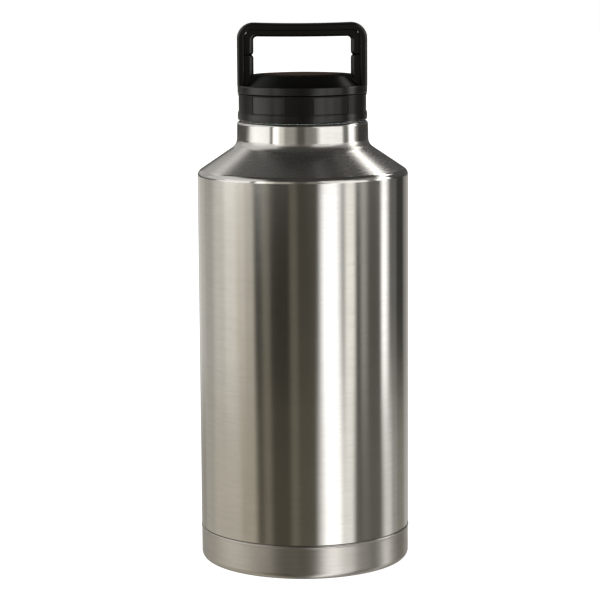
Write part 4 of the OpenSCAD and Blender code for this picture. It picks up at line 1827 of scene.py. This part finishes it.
@dataclass
class Studio:
    """Camera, floor and light.

    Args:
        eye: Where the camera stands, in metres.
        pitch: How far the camera looks down, in radians.
        roll: How far the camera is turned about its view, in radians.
        lens: Focal length in millimetres for a sensor of 36 mm.
        floor_size: Half the width of the floor.
        floor_glow: How bright the floor is without the light that falls on it.
        zenith: Brightness overhead.
        backdrop: Brightness of the backdrop.
        table_edge: Elevations in degrees between which the low belt becomes the table belt.
        lid_edge: Elevations between which that becomes the lid belt.
        level_edge: Elevations between which that becomes the level belt.
        top_edge: Elevations between which that becomes the zenith.
    """

    eye: Place = (-2.0 * MM, -1239 * MM, 326.3 * MM)
    pitch: float = math.radians(8.42)
    roll: float = math.radians(-0.372)
    lens: float = 136.8
    floor_size: float = 9.0
    floor_glow: float = 0.97
    zenith: float = 0.06
    backdrop: float = 1.0
    table_edge: Spot = (-12.5, -9.0)
    lid_edge: Spot = (-4.4, -3.8)
    level_edge: Spot = (-3.1, -2.7)
    top_edge: Spot = (22.0, 36.0)

    def build(self) -> None:
        """Builds the camera, the floor and the light."""
        self.camera()
        self.floor()
        self.world()

    def camera(self) -> None:
        """Sets the camera up."""
        camera = bpy.data.objects.new("camera", bpy.data.cameras.new("camera"))
        camera.data.lens = self.lens
        camera.data.sensor_width = 36
        camera.data.clip_end = 50
        camera.location = self.eye
        camera.rotation_mode = "QUATERNION"
        tilt = Quaternion((1, 0, 0), math.pi / 2 - self.pitch)
        camera.rotation_quaternion = tilt @ Quaternion((0, 0, 1), self.roll)
        bpy.context.scene.collection.objects.link(camera)
        bpy.context.scene.camera = camera
        log.info("camera at %s", self.eye)

    def floor(self) -> None:
        """Lays the pale floor."""
        size = self.floor_size
        mesh = bpy.data.meshes.new("floor")
        corners = [(-size, -size, 0), (size, -size, 0), (size, size, 0), (-size, size, 0)]
        mesh.from_pydata(corners, [], [(0, 1, 2, 3)])
        floor = bpy.data.objects.new("floor", mesh)
        material = bpy.data.materials.new("pale_floor")
        material.use_nodes = True
        graph = Graph(material.node_tree)
        shader = material.node_tree.nodes["Principled BSDF"].inputs
        place = graph.here()
        mottle = graph.span(graph.noise(place, 9.0, 3.0), MOST)
        graph.feed(shader["Base Color"], graph.blend(mottle, (0.8, 0.8, 0.8, 1.0), (0.79, 0.79, 0.79, 1.0)))
        graph.fix(shader, Roughness=0.9, Specular_IOR_Level=0.1)
        graph.fix(shader, Emission_Color=(1.0, 1.0, 1.0, 1.0), Emission_Strength=self.floor_glow)
        mesh.materials.append(material)
        floor.visible_glossy = False
        floor.visible_shadow = False
        bpy.context.scene.collection.objects.link(floor)
        log.info("laid the floor")

    def world(self) -> None:
        """Lights the studio with belts of upright strips, and shows the camera a plain backdrop."""
        world = bpy.data.worlds.new("studio")
        world.use_nodes = True
        world.node_tree.nodes.clear()
        graph = Graph(world.node_tree)
        x, y, z = graph.split(graph.add("ShaderNodeTexCoord").outputs["Generated"])
        turn = graph.sum("ARCTAN2", x, graph.times(y, -1.0))
        azimuth = graph.times(turn, 180 / math.pi)
        up = graph.times(graph.sum("ARCSINE", z), 180 / math.pi)
        share = graph.sum("MULTIPLY_ADD", turn, 1 / (2 * math.pi), 0.5)
        near = graph.span(up, self.table_edge, smooth=True)
        table = graph.blend(near, LOW.ramp(graph, share), TABLE.ramp(graph, share))
        top = graph.span(up, self.top_edge, smooth=True)
        strip = graph.times(
            graph.span(up, self.lid_edge, smooth=True), graph.span(up, self.top_edge, (1.0, 0.0), smooth=True)
        )
        upper = graph.span(up, self.level_edge, smooth=True)
        above = graph.blend(upper, LID.ramp(graph, share), LEVEL.ramp(graph, share))
        light = graph.blend(strip, table, above)
        dim = (*(self.zenith * tint for tint in ZENITH_TINT), 1.0)
        light = graph.blend(top, light, dim)
        for lamp in LAMPS:
            light = lamp.over(graph, light, azimuth, up)
        seen = graph.add("ShaderNodeLightPath").outputs["Is Camera Ray"]
        plain = (self.backdrop, self.backdrop, self.backdrop, 1.0)
        shade = graph.add("ShaderNodeBackground")
        graph.feed(shade.inputs["Color"], graph.blend(seen, light, plain))
        graph.feed(graph.add("ShaderNodeOutputWorld").inputs["Surface"], shade.outputs[0])
        bpy.context.scene.world = world
        bpy.context.scene.view_settings.view_transform = "Standard"
        log.info("lit the studio")


def main() -> None:
    """Builds every sub-assembly and the studio, in order."""
    logging.basicConfig(level=logging.INFO, format="%(name)s: %(message)s")
    for part in (BottleJacket(), VacuumSpace(), PourCollar(), ScrewCap(), CarryHandle(), Studio()):
        log.info("building %s", type(part).__name__)
        part.build()


if __name__ == "__main__":
    main()
